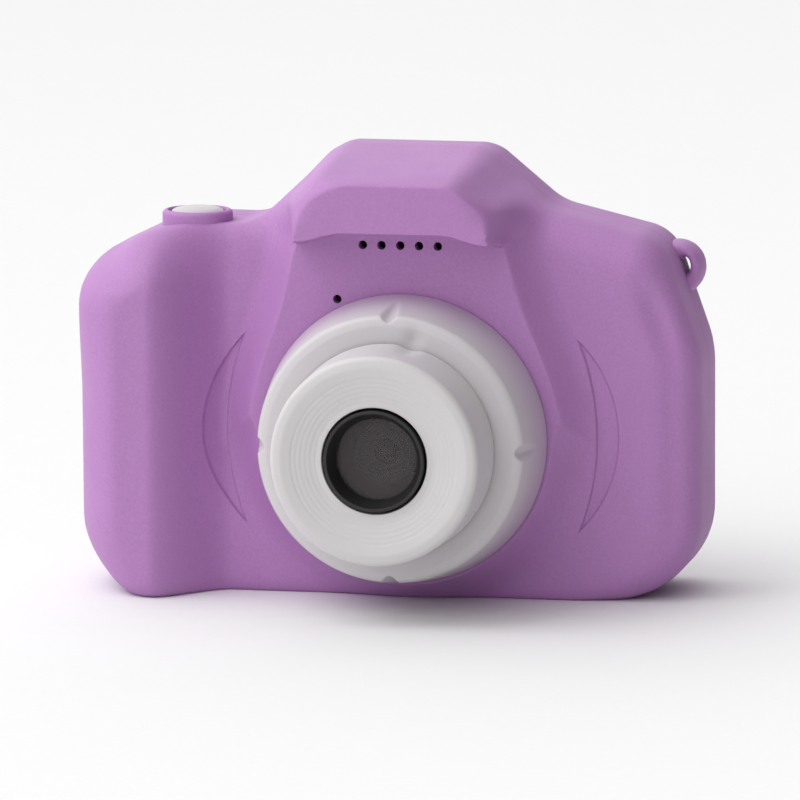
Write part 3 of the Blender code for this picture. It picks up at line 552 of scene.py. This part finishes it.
RED_WIRE = moulded("red_wire", (0.55, 0.02, 0.02), 0.4, grain=0.5, spread=0.08, relief=0.004)
BLACK_WIRE = moulded("black_wire", (0.02, 0.02, 0.02), 0.4, grain=0.5, spread=0.2, relief=0.004)
# painted reflection: the clear windows' grey base, seen through 0.4 alpha, is a grey haze standing in for the
# bright studio reflected in the glass
CLEAR = glassy("clear_window", (0.105, 0.092, 0.096), 0.05, ior=1.4, Alpha=0.4)
COATED = glassy("coated_lens_glass", (0.035, 0.030, 0.040), 0.12, ior=1.45)
PANEL = glassy("display_panel", (0.012, 0.013, 0.016), 0.12, ior=1.5)


# ---------------------------------------------------------------- the case's shape


def case_outline(arc_step, line_step):
    """Points round the case outline and the outward normal at each: straight runs joined by arcs."""
    corners = [np.array(c[:2]) for c in OUTLINE]
    count = len(corners)
    arcs = [
        fillet(corners[i - 1], corners[i], corners[(i + 1) % count], OUTLINE[i][2],
               lambda turn: math.ceil(turn / arc_step))
        for i in range(count)
    ]
    ring = []
    for i, points in enumerate(arcs):
        ring.extend(points)
        (a, normal), b = points[-1], arcs[(i + 1) % count][0][0]
        pieces = max(1, math.ceil(np.linalg.norm(b - a) / line_step))
        ring.extend((a + (b - a) * k / pieces, normal) for k in range(1, pieces))
    return np.array([p for p, _ in ring]), np.array([n for _, n in ring])


def outline_distance(points):
    """Distance of each (x, z) point from the case outline."""
    ring, _ = case_outline(math.radians(3), 50.0)
    best = np.full(len(points), 1e9)
    for a, b in zip(ring, np.roll(ring, -1, axis=0)):
        along = b - a
        t = np.clip(((points - a) @ along) / (along @ along), 0.0, 1.0)
        best = np.minimum(best, np.linalg.norm(points - (a + t[:, None] * along), axis=1))
    return best


def column_distance(x, z):
    """Signed distance outside the raised column: a disc round the lens under a tapering neck."""
    disc = np.hypot(x - LENS_X, z - LENS_Z) - PEDESTAL_R
    share = np.clip((z - 24.0) / 22.0, 0.0, 1.0)
    half = PEDESTAL_R + share * (13.4 - PEDESTAL_R)
    neck = np.maximum(np.abs(x - LENS_X - share * (HUMP_X - LENS_X)) - half, 24.0 - z)
    blend = 5.0
    mix = np.clip(0.5 + 0.5 * (neck - disc) / blend, 0.0, 1.0)
    return neck * (1 - mix) + disc * mix - blend * mix * (1 - mix)


def brow_share(x, z, inset):
    """1 on the brow, 0 off it. Its sides curve over into its top, and its lower lip droops at both ends."""
    side = np.abs(x - HUMP_X)
    lip = 46.9 - 1.3 * smooth(6.0, 12.6, side) + inset
    up = np.maximum(z - 46.0, 0.0)
    around = ((side / (12.5 - inset)) ** 2.3 + (up / (7.9 - inset)) ** 2.3) ** (1 / 2.3)
    fade_end = 1.10 + 0.17 * smooth(46.5, 50.5, z)
    return smooth(lip - 0.35, lip + 0.35, z) * (1.0 - smooth(0.97, fade_end, around))


def crescent_depth(x, z):
    """Depth of the two finger recesses beside the lens, each between two arcs."""
    depth = np.zeros_like(x)
    for side in (-1, 1):
        outer = np.hypot(x - (LENS_X + side * 9.5), z - LENS_Z) - 16.9
        inner = 32.2 - np.hypot(x - (LENS_X - side * 8.6), z - LENS_Z)
        depth += 0.35 * (1.0 - smooth(-0.16, 0.06, np.maximum(outer, inner)))
    return depth


def front_height(x, z, inset=0.0):
    """How far the front surface stands out from the seam, before its edge is rounded."""
    off = np.clip((column_distance(x, z) + 0.5 + inset) / 5.0, 0.0, 1.0)
    column = (1.0 - off ** 2 / (off + 0.08)) ** 2.2
    grip = 1.0 - smooth(-28.8 - inset * 0.5, -19.4 - inset, x)
    grip = grip * (1.0 - 0.55 * smooth(38.0, 47.5, z))
    flank = 2.2 * smooth(45.5, 51.0, z)
    height = FRONT_FACE + (COLUMN_RISE + flank) * column + GRIP_RISE * grip
    return height + (BROW_RISE - flank) * brow_share(x, z, inset) - inset


def edge_valley(x, z, near):
    """Depth of the shallow valley that runs up beside the right edge and deepens at its shoulder."""
    along = smooth(3.0, 11.0, z) * (1.0 - smooth(37.0, 43.0, z)) * smooth(28.0, 32.0, x)
    return (0.6 + 0.5 * bell(z - 36.0, 4.0)) * bell(near - 3.1, 1.8) * along


def edge_share(x, z, distance, height):
    """Share of the height reached at a distance in from the outline: a straight side, then a
    rounded edge. The hump's top is a plain slope down to the brow instead."""
    hump = smooth(48.5, 52.5, z)
    base = (1.0 - smooth(1.0, 9.0, z)) * smooth(-40.0, -28.0, x) * (1.0 - smooth(23.0, 37.0, x))
    shoulder = smooth(39.0, 45.0, z) * (1.0 - smooth(-20.0, -12.0, x)) * smooth(-36.0, -29.0, x)
    grip = 1.0 - smooth(-36.0, -26.0, x)
    reach = 5.2 + 3.3 * grip - 3.2 * base
    reach = reach + (3.0 - reach) * shoulder
    side = 0.45 + (0.12 * smooth(24.0, 36.0, z) - 0.37) * grip
    side = side + (0.9 - side) * base
    side = side + (0.82 - side) * shoulder
    t = np.clip(distance / reach, 0.0, 1.0)
    rounded = side + (1 - side) * (1.0 - (1.0 - t) ** 2.1) ** (1.0 / 2.1)
    ramp = (0.7 + HUMP_SLOPE * distance) / height
    mix = np.clip(0.5 + 2.0 * (1.0 - ramp), 0.0, 1.0)
    sloped = 1.0 + mix * (ramp - 1.0) - 0.25 * mix * (1.0 - mix)
    return rounded + (sloped - rounded) * hump


def surface_y(flat, inset):
    """Y of the front surface, or of the surface a wall's thickness inside it, at (x, z) points."""
    x, z = flat[:, 0], flat[:, 1]
    near = outline_distance(flat)
    height = front_height(x, z, inset) - edge_valley(x, z, near)
    y = -height * edge_share(x, z, np.maximum(near - inset, 0.0), height)
    return y + crescent_depth(x, z) if inset == 0 else y


def crowded(start, end, count, inset, even):
    """Points from each start to each end, closest together where the surface bends."""
    share = np.linspace(0.0, 1.0, 261)
    line = start[None] + share[:, None, None] * (end - start)[None]
    y = surface_y(line.reshape(-1, 2), inset).reshape(len(share), -1)
    bend = np.abs(y[2:] - 2 * y[1:-1] + y[:-2])
    for _ in range(6):
        bend = 0.5 * bend + 0.25 * (np.roll(bend, 1, axis=1) + np.roll(bend, -1, axis=1))
    density = np.vstack((bend[:1], bend, bend[-1:])) ** 0.5 + even
    passed = np.cumsum(density, axis=0)
    passed = (passed - passed[0]) / (passed[-1] - passed[0])
    wanted = np.linspace(0.0, 1.0, count + 1)[1:]
    shares = np.array([np.interp(wanted, column, share) for column in passed.T]).T
    return [start + s[:, None] * (end - start) for s in shares]


def front_surface(inset, band, count):
    """Rings of (x, y, z) points from the seam to the lens opening. Band holds the first rings'
    distances in from the outline, and count more lie between them and the opening."""
    ring, normals = case_outline(math.radians(2.5), 0.65)
    rim = ring - normals * inset
    spoke = rim - (LENS_X, LENS_Z)
    spoke = spoke / np.linalg.norm(spoke, axis=1)[:, None]
    mouth = np.array((LENS_X, LENS_Z)) + spoke * OPENING_R
    flats = [rim - normals * d for d in band]
    flats += crowded(flats[-1], mouth, count, inset, 0.06)
    rings = [np.column_stack((rim[:, 0], np.full(len(rim), -SEAM_GAP), rim[:, 1]))]
    rings += [np.column_stack((flat[:, 0], surface_y(flat, inset), flat[:, 1])) for flat in flats]
    return rings


# ---------------------------------------------------------------- shells


def make_front_shell():
    outer = front_surface(0.0, (0.0, 0.08, 0.22, 0.45, 0.75, 1.15, 1.6), 130)
    inner = front_surface(WALL, (0.0, 0.5), 14)
    shell = build("front_case", *loft(outer + inner[::-1], closed=True))
    collar_levels = [(COLLAR_R, 45.2, 0), (COLLAR_R, COLLAR_TOP, 0.55), (0.0, COLLAR_TOP, 0)]
    outline = profile([(0.0, 45.2, 0), *collar_levels])
    collar = turned("collar", (SHUTTER_X, SHUTTER_Y, 0), outline, "up", segments=72)
    bosses = [
        turned("boss", (x, 0, z), [(0, GAP / 2), (2.0, GAP / 2), (2.0, top), (0, top)], "front", segments=32)
        for (x, z), top in zip(CASE_SCREWS, (14.9, 13.6, 8.0, 8.0))
    ]
    combine(shell, [collar, *bosses], "UNION")
    bore_r = SHUTTER_R + GAP
    bore = profile([
        (0, 42.0, 0), (bore_r, 42.0, 0), (bore_r, COLLAR_TOP - 0.2, 0.3),
        (bore_r + 0.35, COLLAR_TOP + 0.2, 0), (0, 50.0, 0),
    ])
    cutters = [turned("bore", (SHUTTER_X, SHUTTER_Y, 0), bore, "up", segments=72)]
    for x, z in CASE_SCREWS:
        outline = [(0, -1.0), (1.2, -1.0), (1.2, 6.5), (0, 6.5)]
        cutters.append(turned("pilot", (x, 0, z), outline, "front", segments=24))
    for x, z in [*SPEAKER_HOLES, MIC_HOLE]:
        outline = [(0, 9.0), (HOLE_R, 9.0), (HOLE_R, 21.0), (0, 21.0)]
        cutters.append(turned("hole", (x, 0, z), outline, "front", segments=28))
    combine(shell, cutters, "DIFFERENCE")
    shell.data.materials.clear()
    shell.data.materials.append(LILAC)
    shell.data.materials.append(LILAC_RECESS_FLOOR)
    centres = np.array([face.center for face in shell.data.polygons]) / MM - (0.0, SEAM, 0.0)
    # faces on the crescent floors take the darker, glossier lilac
    on_recess_floor = (crescent_depth(centres[:, 0], centres[:, 2]) > 0.3) & (centres[:, 1] < -8.5)
    shell.data.polygons.foreach_set("material_index", on_recess_floor.astype(np.int32))
    piece(shell, "camera_body", ["front_shell"], 42)
    disc = [(0, 12.1), (1.6, 12.1), (1.6, 12.35), (0, 12.35)]
    felt = turned("mic_felt", (MIC_HOLE[0], 0, MIC_HOLE[1]), disc, "front", FOAM, 32)
    piece(felt, "camera_body", [])


def eyelet_loop():
    """The strap eyelet: a round lug with a slot through it and softly rounded rims, closed like a tyre."""
    outer, _ = circle_outline(EYELET_R, 72)
    angle = np.linspace(0, 2 * math.pi, 72, endpoint=False)
    slot = np.column_stack((1.35 + 0.55 * np.cos(angle), 0.45 + 1.05 * np.sin(angle)))
    rings = []
    for k in range(28):
        a = 2 * math.pi * k / 28
        across = math.copysign(abs(math.cos(a)) ** 0.75, math.cos(a))
        along = math.copysign(abs(math.sin(a)) ** 0.75, math.sin(a))
        flat = outer + (slot - outer) * (0.5 + 0.5 * across)
        depth = np.full(72, 3.7 + 2.7 * along)
        rings.append(np.column_stack((EYELET_X + flat[:, 0], depth, EYELET_Z + flat[:, 1])))
    return build("eyelet", *loft(rings, closed=True))


def make_rear_shell():
    ring, normals = case_outline(math.radians(3), 1.0)
    corner, run, steps = 3.7, 6.5, 18
    outer = []
    for step in range(steps + 1):
        a = math.radians(90) * step / steps
        outer.append((corner * (1 - math.cos(a)), REAR_FACE - run * (1 - math.sin(a))))
    tongue_out = WALL + GAP
    tongue_in = tongue_out + 1.0
    seam = [
        (0.0, 2.0), (0.0, SEAM_GAP), (tongue_out, SEAM_GAP),
        (tongue_out, -1.5), (tongue_in, -1.5), (tongue_in, 1.4),
    ]
    floor = REAR_FACE - 2.2
    inner = [(WALL, 3.0), (WALL, floor - 1.6), (WALL + 0.5, floor - 0.5), (WALL + 1.6, floor)]
    rings = []
    for inset, y in outer[::-1] + seam + inner:
        flat = ring - normals * inset
        rings.append(np.column_stack((flat[:, 0], np.full(len(flat), y), flat[:, 1])))
    shell = build("rear_case", *loft(rings, capped=True))

    sleeves = [eyelet_loop()]
    for x, z in CASE_SCREWS:
        low = SWITCH_FLOOR if x < 0 else GAP / 2
        outline = [(0, low), (2.9, low), (2.9, 9.0), (0, 9.0)]
        sleeves.append(turned("sleeve", (x, 0, z), outline, "back", segments=40))
    combine(shell, sleeves, "UNION")

    outline = [(0, -3.0), (1.2, -3.0), (1.2, 12.0), (0, 12.0)]
    ways = [turned("way", (x, 0, z), outline, "back", segments=24) for x, z in CASE_SCREWS]
    window = rectangle_outline(SCREEN_W - 3.0, SCREEN_H - 3.0, 2.0)
    ways.append(stack("window", window, (SCREEN_X, SCREEN_Z), [(0, 6.0), (0, 13.0)]))
    combine(shell, ways, "DIFFERENCE")

    pocket = rectangle_outline(SCREEN_W + 2 * GAP, SCREEN_H + 2 * GAP, 3.3)
    cutters = [stack("pocket", pocket, (SCREEN_X, SCREEN_Z), eased(REAR_FACE, 0.5, REAR_FACE - 1.1))]
    for x, z in CASE_SCREWS:
        cutters.append(stack("well", circle_outline(2.1), (x, z), eased(REAR_FACE, 0.3, 6.4)))
    for (x, z), radius in (((PAD_X, PAD_Z), OK_R), (POWER_KEY, SMALL_KEY_R), (MODE_KEY, SMALL_KEY_R)):
        cutters.append(stack("key_hole", circle_outline(radius + GAP), (x, z), eased(REAR_FACE, 0.3, 7.0)))
    for quarter in range(4):
        sector = sector_outline(math.radians(90 * quarter), 0.75)
        levels = [(offset + GAP, y) for offset, y in eased(REAR_FACE, 0.3, 7.0)]
        cutters.append(stack("sector_hole", sector, (PAD_X, PAD_Z), levels))
    mouth = rectangle_outline(PORT_W + 2 * GAP, PORT_D + 2 * GAP, 1.9)
    cutters.append(stack("mouth", mouth, (PORT_X, PORT_Y), eased(0.0, 0.25, 4.0, way=-1), flat=True))
    combine(shell, cutters, "DIFFERENCE")
    shell.data.materials.clear()
    shell.data.materials.append(LILAC)
    return piece(shell, "camera_body", ["rear_shell"], 42)


# ---------------------------------------------------------------- lens group


def arc_between(angle, at, radius):
    """Distance round a circle from an angle, in millimetres."""
    return radius * (np.mod(angle - at + math.pi, 2 * math.pi) - math.pi)


INDEX_ANGLE = math.radians(77)


def ring_shape(r, h, angle):
    """Four scallops that run out down the base ring's wall, and the foot of the thumb groove."""
    near = np.min([np.abs(arc_between(angle, math.radians(90 * quarter), r)) for quarter in range(4)], axis=0)
    depth = np.maximum(0.95 * (h - 3.2) / 6.2 - 0.75 * near ** 2, 0.0) * (r > 15.05)
    wall = 18.25 - 0.165 * h
    mark = bell(np.hypot(arc_between(angle, INDEX_ANGLE, r), 0.8 * (r - 14.1)), 1.1) * smooth(9.0, 9.2, h)
    return np.where(depth > 0, np.minimum(r, wall - depth), r), h - 0.38 * mark


def tube_shape(r, h, angle):
    """A thumb groove that runs up the tube's wall and fades before its front edge."""
    mark = bell(arc_between(angle, INDEX_ANGLE, r), 1.2) * (1 - smooth(10.5, 16.5, h)) * smooth(12.3, 13.0, r)
    return r - 0.45 * mark, h


def dish_grooves(points):
    """Fine rings turned into the tube's sloping dish."""
    made = points.copy()
    for groove in (7.9, 8.5, 9.1, 9.7, 10.3):
        near = bell(made[:, 0] - groove, 0.10) * (made[:, 1] > 17.5)
        made[:, 1] -= 0.05 * near
    return made


def make_lens_group():
    base = profile([
        (13.0, 9.3, 0.1), (15.5, 9.4, 0.9), (16.7, 9.1, 1.0), (17.0, 7.4, 1.0),
        (18.2, GAP, 0.12), (15.9, GAP, 0),
        (15.9, -1.0, 0), (4.6, -1.0, 0), (4.6, 0.6, 0), (14.6, 0.6, 0), (14.6, 7.4, 0.1),
        (12.5, 7.4, 0), (12.5, 9.3, 0.1),
    ], closed=True, step=0.3)
    ring = turned("lens_ring", LENS_AT, base, "front", WHITE_FOOT, 400, ring=True, shape=ring_shape)
    piece(ring, "camera_body", ["lens_base_ring"], 50)

    outline = profile([
        (6.6, 17.9, 0.12), (7.35, 17.85, 0.3), (10.4, 18.45, 1.4), (11.7, 18.7, 1.2),
        (13.0, 18.45, 1.1), (13.15, 15.0, 1.5), (13.35, 9.7, 0.08),
        (12.2, 9.7, 0), (12.2, 6.6, 0), (11.2, 6.6, 0), (11.2, 16.4, 0), (6.6, 16.2, 0.1),
    ], closed=True, step=0.16)
    grooved = dish_grooves(outline)
    tube = turned("lens_barrel_cover", LENS_AT, grooved, "front", WHITE, 300, ring=True, shape=tube_shape)
    piece(tube, "camera_body", ["lens_tube"], 50)

    bezel = profile([
        (5.9, 18.3, 0.1), (6.3, 18.3, 0.14), (6.3, 13.6, 0.1), (6.1, 11.8, 0.1),
        (5.6, 11.8, 0.1), (5.6, 16.35, 0), (5.05, 16.35, 0.05),
        (5.1, 16.6, 0.1),
    ], closed=True, step=0.5)
    made = turned("lens_hood", LENS_AT, bezel, "front", SHADE_BLACK, 128, ring=True)
    piece(made, "camera_body", ["lens_bezel"])

    glass = profile([(0, 16.05, 0), (5.3, 16.05, 0.12), (5.3, 15.2, 0.12), (0, 15.2, 0)], step=1.0)
    made = turned("front_glass", LENS_AT, glass, "front", CLEAR, 128)
    piece(made, "camera_body", ["lens_window"])

    barrel = profile([
        (0, 10.2, 0), (2.0, 10.2, 0), (2.1, 10.5, 0.05), (2.3, 11.0, 0.1), (3.0, 11.3, 0.3),
        (3.8, 11.3, 0.15), (4.0, 11.0, 0.1),
        (4.0, 6.6, 0), (3.7, 6.3, 0), (3.7, -3.5, 0), (0, -3.5, 0),
    ], step=0.5)
    made = turned("inner_barrel", LENS_AT, barrel, "front", OPTIC_BLACK, 96)
    piece(made, "camera_body", ["lens_barrel"])

    dome = [(1.7 * math.sin(a), 9.55 + 1.7 * math.cos(a)) for a in np.radians(np.linspace(0, 62, 16))]
    element = [*dome, (1.6, 10.3), (0.0, 10.3)]
    made = turned("inner_lens", LENS_AT, element, "front", COATED, 72)
    piece(made, "camera_body", ["lens_element"], 60)


# ---------------------------------------------------------------- shutter, keys and their symbols


def make_shutter():
    at = (SHUTTER_X, SHUTTER_Y, 0)
    top = COLLAR_TOP + 0.05
    cap = profile([
        (0, top + 0.35, 0), (1.6, top + 0.3, 1.5), (2.75, top + 0.1, 1.0),
        (SHUTTER_R, top - 0.25, 0.4), (SHUTTER_R, 44.2, 0.15),
        (1.6, 44.2, 0), (1.6, 42.2, 0.1), (0, 42.2, 0),
    ], step=0.3)
    piece(turned("shutter_cap", at, cap, "up", KEY_WHITE, 96), "shutter", ["shutter_button"])


def key_levels(crown):
    """Levels of a key cap: a round rim and a face that rises to its middle."""
    levels = softened(7.4, KEY_TOP - crown, 0.5)
    levels += [(-0.8, KEY_TOP - 0.8 * crown), (-1.2, KEY_TOP - 0.4 * crown), (-1.7, KEY_TOP)]
    return levels


def stem(x, z, low=8.0):
    shank = profile([
        (0, 3.1, 0), (0.9, 3.1, 0.1), (0.9, 4.2, 0), (1.4, 4.2, 0.1), (1.4, low, 0), (0, low, 0),
    ])
    return turned("stem", (x, 0, z), shank, "back", segments=32)


def symbol(name, outline, at, body, material=None):
    """A raised printed symbol on a key's face."""
    levels = [(0, KEY_TOP - 0.12), (0, KEY_TOP + 0.04), (-0.03, KEY_TOP + 0.07)]
    made = stack(name, outline, at, levels, material or SYMBOL)
    return piece(made, body, [])


def arrow_outline(angle, size=0.95):
    """A triangle with round corners that points along an angle."""
    corners = [
        np.array((size * math.cos(angle + turn), size * math.sin(angle + turn)))
        for turn in (0, 2 * math.pi / 3, -2 * math.pi / 3)
    ]
    found = []
    for i in range(3):
        found += fillet(corners[i - 1], corners[i], corners[(i + 1) % 3], 0.18, lambda turn: 5)
    return np.array([p for p, _ in found]), np.array([n for _, n in found])


def ring_symbol(name, at, radius, width, body, gap=0.0):
    """A flat raised ring, or an open one with its gap at the top."""
    low, high = KEY_TOP - 0.12, KEY_TOP + 0.07
    count = 56
    start, end = math.pi / 2 + gap, math.pi / 2 + 2 * math.pi - gap
    angle = np.linspace(start, end, count, endpoint=gap > 0)
    rings = []
    inner, outer = radius - width / 2, radius + width / 2
    for r, y in ((inner, low), (outer, low), (outer, high), (inner, high)):
        across, up = at[0] + r * np.cos(angle), at[1] + r * np.sin(angle)
        rings.append(np.column_stack((across, np.full(count, y), up)))
    points = np.concatenate(rings)
    faces = []
    for side in range(4):
        a, b = side * count, (side + 1) % 4 * count
        for k in range(count - 1 if gap else count):
            n = (k + 1) % count
            faces.append((a + k, a + n, b + n, b + k))
    if gap:
        faces.append(tuple(side * count for side in range(4)))
        faces.append(tuple(side * count + count - 1 for side in range(4)))
    return piece(build(name, points, faces, SYMBOL), body, [])


def make_keys():
    round_keys = (
        ("ok", (PAD_X, PAD_Z), OK_R), ("power", POWER_KEY, SMALL_KEY_R), ("mode", MODE_KEY, SMALL_KEY_R),
    )
    for name, (x, z), radius in round_keys:
        cap = stack(f"{name}_cap", circle_outline(radius, 96), (x, z), key_levels(0.16), KEY_WHITE)
        combine(cap, [stem(x, z)], "UNION")
        piece(cap, name, [f"{name}_key"])
    for quarter, name in enumerate(("left", "up", "right", "down")):
        angle = math.radians(90 * quarter)
        reach = (PAD_INNER + PAD_OUTER) / 2
        x, z = PAD_X + reach * math.cos(angle), PAD_Z + reach * math.sin(angle)
        levels = softened(7.4, KEY_TOP - 0.1, 0.45) + [(-0.65, KEY_TOP - 0.04)]
        cap = stack(f"{name}_cap", sector_outline(angle, 0.75), (PAD_X, PAD_Z), levels, KEY_WHITE)
        combine(cap, [stem(x, z)], "UNION")
        piece(cap, name, [f"{name}_key"])
        symbol(f"{name}_arrow", arrow_outline(angle), (x, z), name)
    symbol("ok_dot", circle_outline(0.75, 40), (PAD_X, PAD_Z), "ok")
    ring_symbol("ok_ring", (PAD_X, PAD_Z), 1.55, 0.32, "ok")
    ring_symbol("power_arc", POWER_KEY, 1.0, 0.28, "power", math.radians(32))
    bar = rectangle_outline(0.28, 1.0, 0.13, 5)
    symbol("power_bar", bar, (POWER_KEY[0], POWER_KEY[1] + 0.75), "power")
    symbol("mode_arrow", arrow_outline(math.pi, 1.05), MODE_KEY, "mode")


# ---------------------------------------------------------------- screen, port cover, screws


def make_screen():
    glass = rectangle_outline(SCREEN_W, SCREEN_H, 3.0)
    pane = stack("screen_glass", glass, (SCREEN_X, SCREEN_Z), softened(9.7, REAR_FACE, 0.2, 0.1), CLEAR)
    piece(pane, "camera_body", ["display_window"])
    outer = rectangle_outline(SCREEN_W - 0.8, SCREEN_H - 0.8, 2.6)[0]
    inner = rectangle_outline(SCREEN_W - 6.0, SCREEN_H - 5.6, 0.6)[0]
    rings = []
    for flat, y in ((outer, 9.5), (outer, 9.62), (inner, 9.62), (inner, 9.5)):
        rings.append(np.column_stack((SCREEN_X + flat[:, 0], np.full(len(flat), y), SCREEN_Z + flat[:, 1])))
    mask = build("screen_border", *loft(rings, closed=True), BLACK)
    piece(mask, "camera_body", [])
    panel = rectangle_outline(45.0, 34.0, 0.3, 3)
    sheet = stack("screen_panel", panel, (SCREEN_X, SCREEN_Z), softened(6.4, 7.1, 0.08, 0.08), PANEL)
    piece(sheet, "camera_body", ["lcd_panel"])


def make_port_cover():
    outline = rectangle_outline(PORT_W, PORT_D, 1.6)
    lip = [(-0.35, 0.25), (-0.15, 0.3), (0.0, 0.5), (0.0, 1.1), (-0.1, 1.25)]
    plug = [(-0.55, 1.3), (-0.6, 1.5), (-0.7, 1.55)]
    cover = stack("port_flap", outline, (PORT_X, PORT_Y), lip + plug, flat=True)
    hollow = [(0, -1.0), (1.3, -1.0), (1.0, 0.7), (0, 0.75)]
    nick = turned("nick", (PORT_X, PORT_Y - PORT_D / 2 - 0.5, 0), hollow, "up", segments=40)
    combine(cover, [nick], "DIFFERENCE")
    cover.data.materials.clear()
    cover.data.materials.append(RUBBER)
    piece(cover, "flap", ["port_cover"])


def make_case_screws():
    """Pan heads with a cross recess at the bottom of each well."""
    for number, (x, z) in enumerate(CASE_SCREWS, 1):
        shape = profile([
            (0, 8.0, 0), (1.2, 8.0, 0.6), (1.9, 7.5, 0.15), (1.9, 6.7, 0),
            (0.9, 6.7, 0), (0.9, -5.6, 0), (0, -6.2, 0),
        ], step=0.5)
        screw = turned(f"case_screw_head_{number}", (x, 0, z), shape, "back", segments=48)
        for lean in (45, 135):
            bar, normals = rectangle_outline(2.0, 0.42, 0.12, 3)
            a = math.radians(lean)
            turn = np.array(((math.cos(a), math.sin(a)), (-math.sin(a), math.cos(a))))
            slot = stack("slot", (bar @ turn, normals @ turn), (x, z), [(-0.1, 7.3), (0, 8.5)])
            combine(screw, [slot], "DIFFERENCE")
        screw.data.materials.clear()
        screw.data.materials.append(STEEL)
        piece(screw, "camera_body", [f"case_screw_{number}"])


# ---------------------------------------------------------------- carried-over inner pieces

SLOT_MATERIALS = {
    "lilac_plastic": LILAC, "white_plastic": WHITE, "black_plastic": BLACK, "dark_glass": COATED,
    "lilac_rubber": RUBBER, "circuit_board": BOARD, "plated_steel": STEEL, "black_foam": FOAM,
    "battery_foil": FOIL, "ribbon_cable": RIBBON, "red_wire": RED_WIRE,
    "black_wire": BLACK_WIRE, "chip_resin": CHIP,
}
CARRIED = {
    "circuit_board": ["main_board", "sensor_board", "shutter_board"],
    "chip_resin": ["processor_chip", "memory_chip", "image_sensor", "memory_card", "flex_connector"],
    "plated_steel": [
        "usb_socket", "card_socket", "lcd_frame", "microphone", "module_screw_1", "module_screw_2",
    ],
    "black_plastic": ["lens_holder", "speaker", "shutter_switch", "shutter_plunger"]
    + [f"{name}_switch" for name in ("ok", "power", "mode", "left", "up", "right", "down")],
    "battery_foil": ["battery"],
    "ribbon_cable": ["sensor_flex", "lcd_flex"],
    "black_foam": ["display_gasket", "speaker_gasket"],
    "red_wire": ["battery_lead_red", "speaker_lead_red"],
    "black_wire": ["battery_lead_black", "speaker_lead_black"],
}


def dress_inner_pieces():
    for slot, names in CARRIED.items():
        for name in names:
            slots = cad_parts[name].data.materials
            slots.clear()
            slots.append(SLOT_MATERIALS[slot])


# ---------------------------------------------------------------- floor, light and camera


def make_studio():
    world = bpy.data.worlds.new("studio")
    bpy.context.scene.world = world
    world.use_nodes = True
    tree = world.node_tree
    background = tree.nodes["Background"]
    coords = add_node(tree, "ShaderNodeTexCoord", {})
    parts = add_node(tree, "ShaderNodeSeparateXYZ", {"Vector": coords.outputs["Generated"]})
    rise = add_node(tree, "ShaderNodeMapRange", {
        "Value": parts.outputs["Z"], "From Min": 0.0, "From Max": 1.0, "To Min": 0.95, "To Max": 1.62,
    })
    lean = add_node(tree, "ShaderNodeMapRange", {
        "Value": parts.outputs["X"], "From Min": -0.25, "From Max": 0.6, "To Min": 1.12, "To Max": 0.08,
    })
    product = add_node(tree, "ShaderNodeMath", {
        0: rise.outputs["Result"], 1: lean.outputs["Result"],
    }, operation="MULTIPLY")
    path = add_node(tree, "ShaderNodeLightPath", {})
    level = add_node(tree, "ShaderNodeMix", {
        0: path.outputs["Is Camera Ray"], 2: product.outputs[0], 3: 1.02,
    })
    tree.links.new(level.outputs[0], background.inputs["Strength"])
    background.inputs["Color"].default_value = (1, 1, 1, 1)

    key = bpy.data.lights.new("key", "AREA")
    key.shape = "DISK"
    key.size = 0.8
    key.energy = 2.5
    lamp = bpy.data.objects.new("key", key)
    lamp.location = (-0.55, -0.35, 0.95)
    aim = Vector((0, 0, 0.02)) - Vector(lamp.location)
    lamp.rotation_euler = aim.to_track_quat("-Z", "Y").to_euler()
    bpy.context.scene.collection.objects.link(lamp)

    radius = 3.0
    rim, _ = circle_outline(radius / MM, 96)
    floor = build("floor", np.column_stack((rim[:, 0], rim[:, 1], np.zeros(96))), [tuple(range(96))])
    paper = moulded("pale_paper", (0.86, 0.86, 0.86), 0.85, grain=1.0, spread=0.01, relief=0.01)
    floor.data.materials.append(paper)


def make_camera():
    """At the angle and distance of the picture: above the lens's axis and to its right."""
    azimuth, elevation = math.radians(12.0), math.radians(8.8)
    distance, pixels_per_mm, image = 900.0, 7.9, 800
    level = math.cos(elevation)
    way = Vector((math.sin(azimuth) * level, -math.cos(azimuth) * level, math.sin(elevation)))
    target = Vector((0.0, SEAM, 27.0))
    lens = bpy.data.cameras.new("camera")
    lens.sensor_width = 36.0
    lens.lens = pixels_per_mm * distance / image * lens.sensor_width
    lens.shift_x = 2 / image
    lens.shift_y = -28 / image
    lens.clip_start = 0.05
    eye = bpy.data.objects.new("camera", lens)
    eye.location = (target + way * distance) * MM
    eye.rotation_euler = (way.to_track_quat("Z", "Y") @ Quaternion((0, 0, 1), math.radians(-0.35))).to_euler()
    bpy.context.scene.collection.objects.link(eye)
    bpy.context.scene.camera = eye


make_front_shell()
make_rear_shell()
make_lens_group()
make_shutter()
make_keys()
make_screen()
make_port_cover()
make_case_screws()
dress_inner_pieces()
make_studio()
make_camera()
bpy.context.scene.view_settings.view_transform = "Standard"
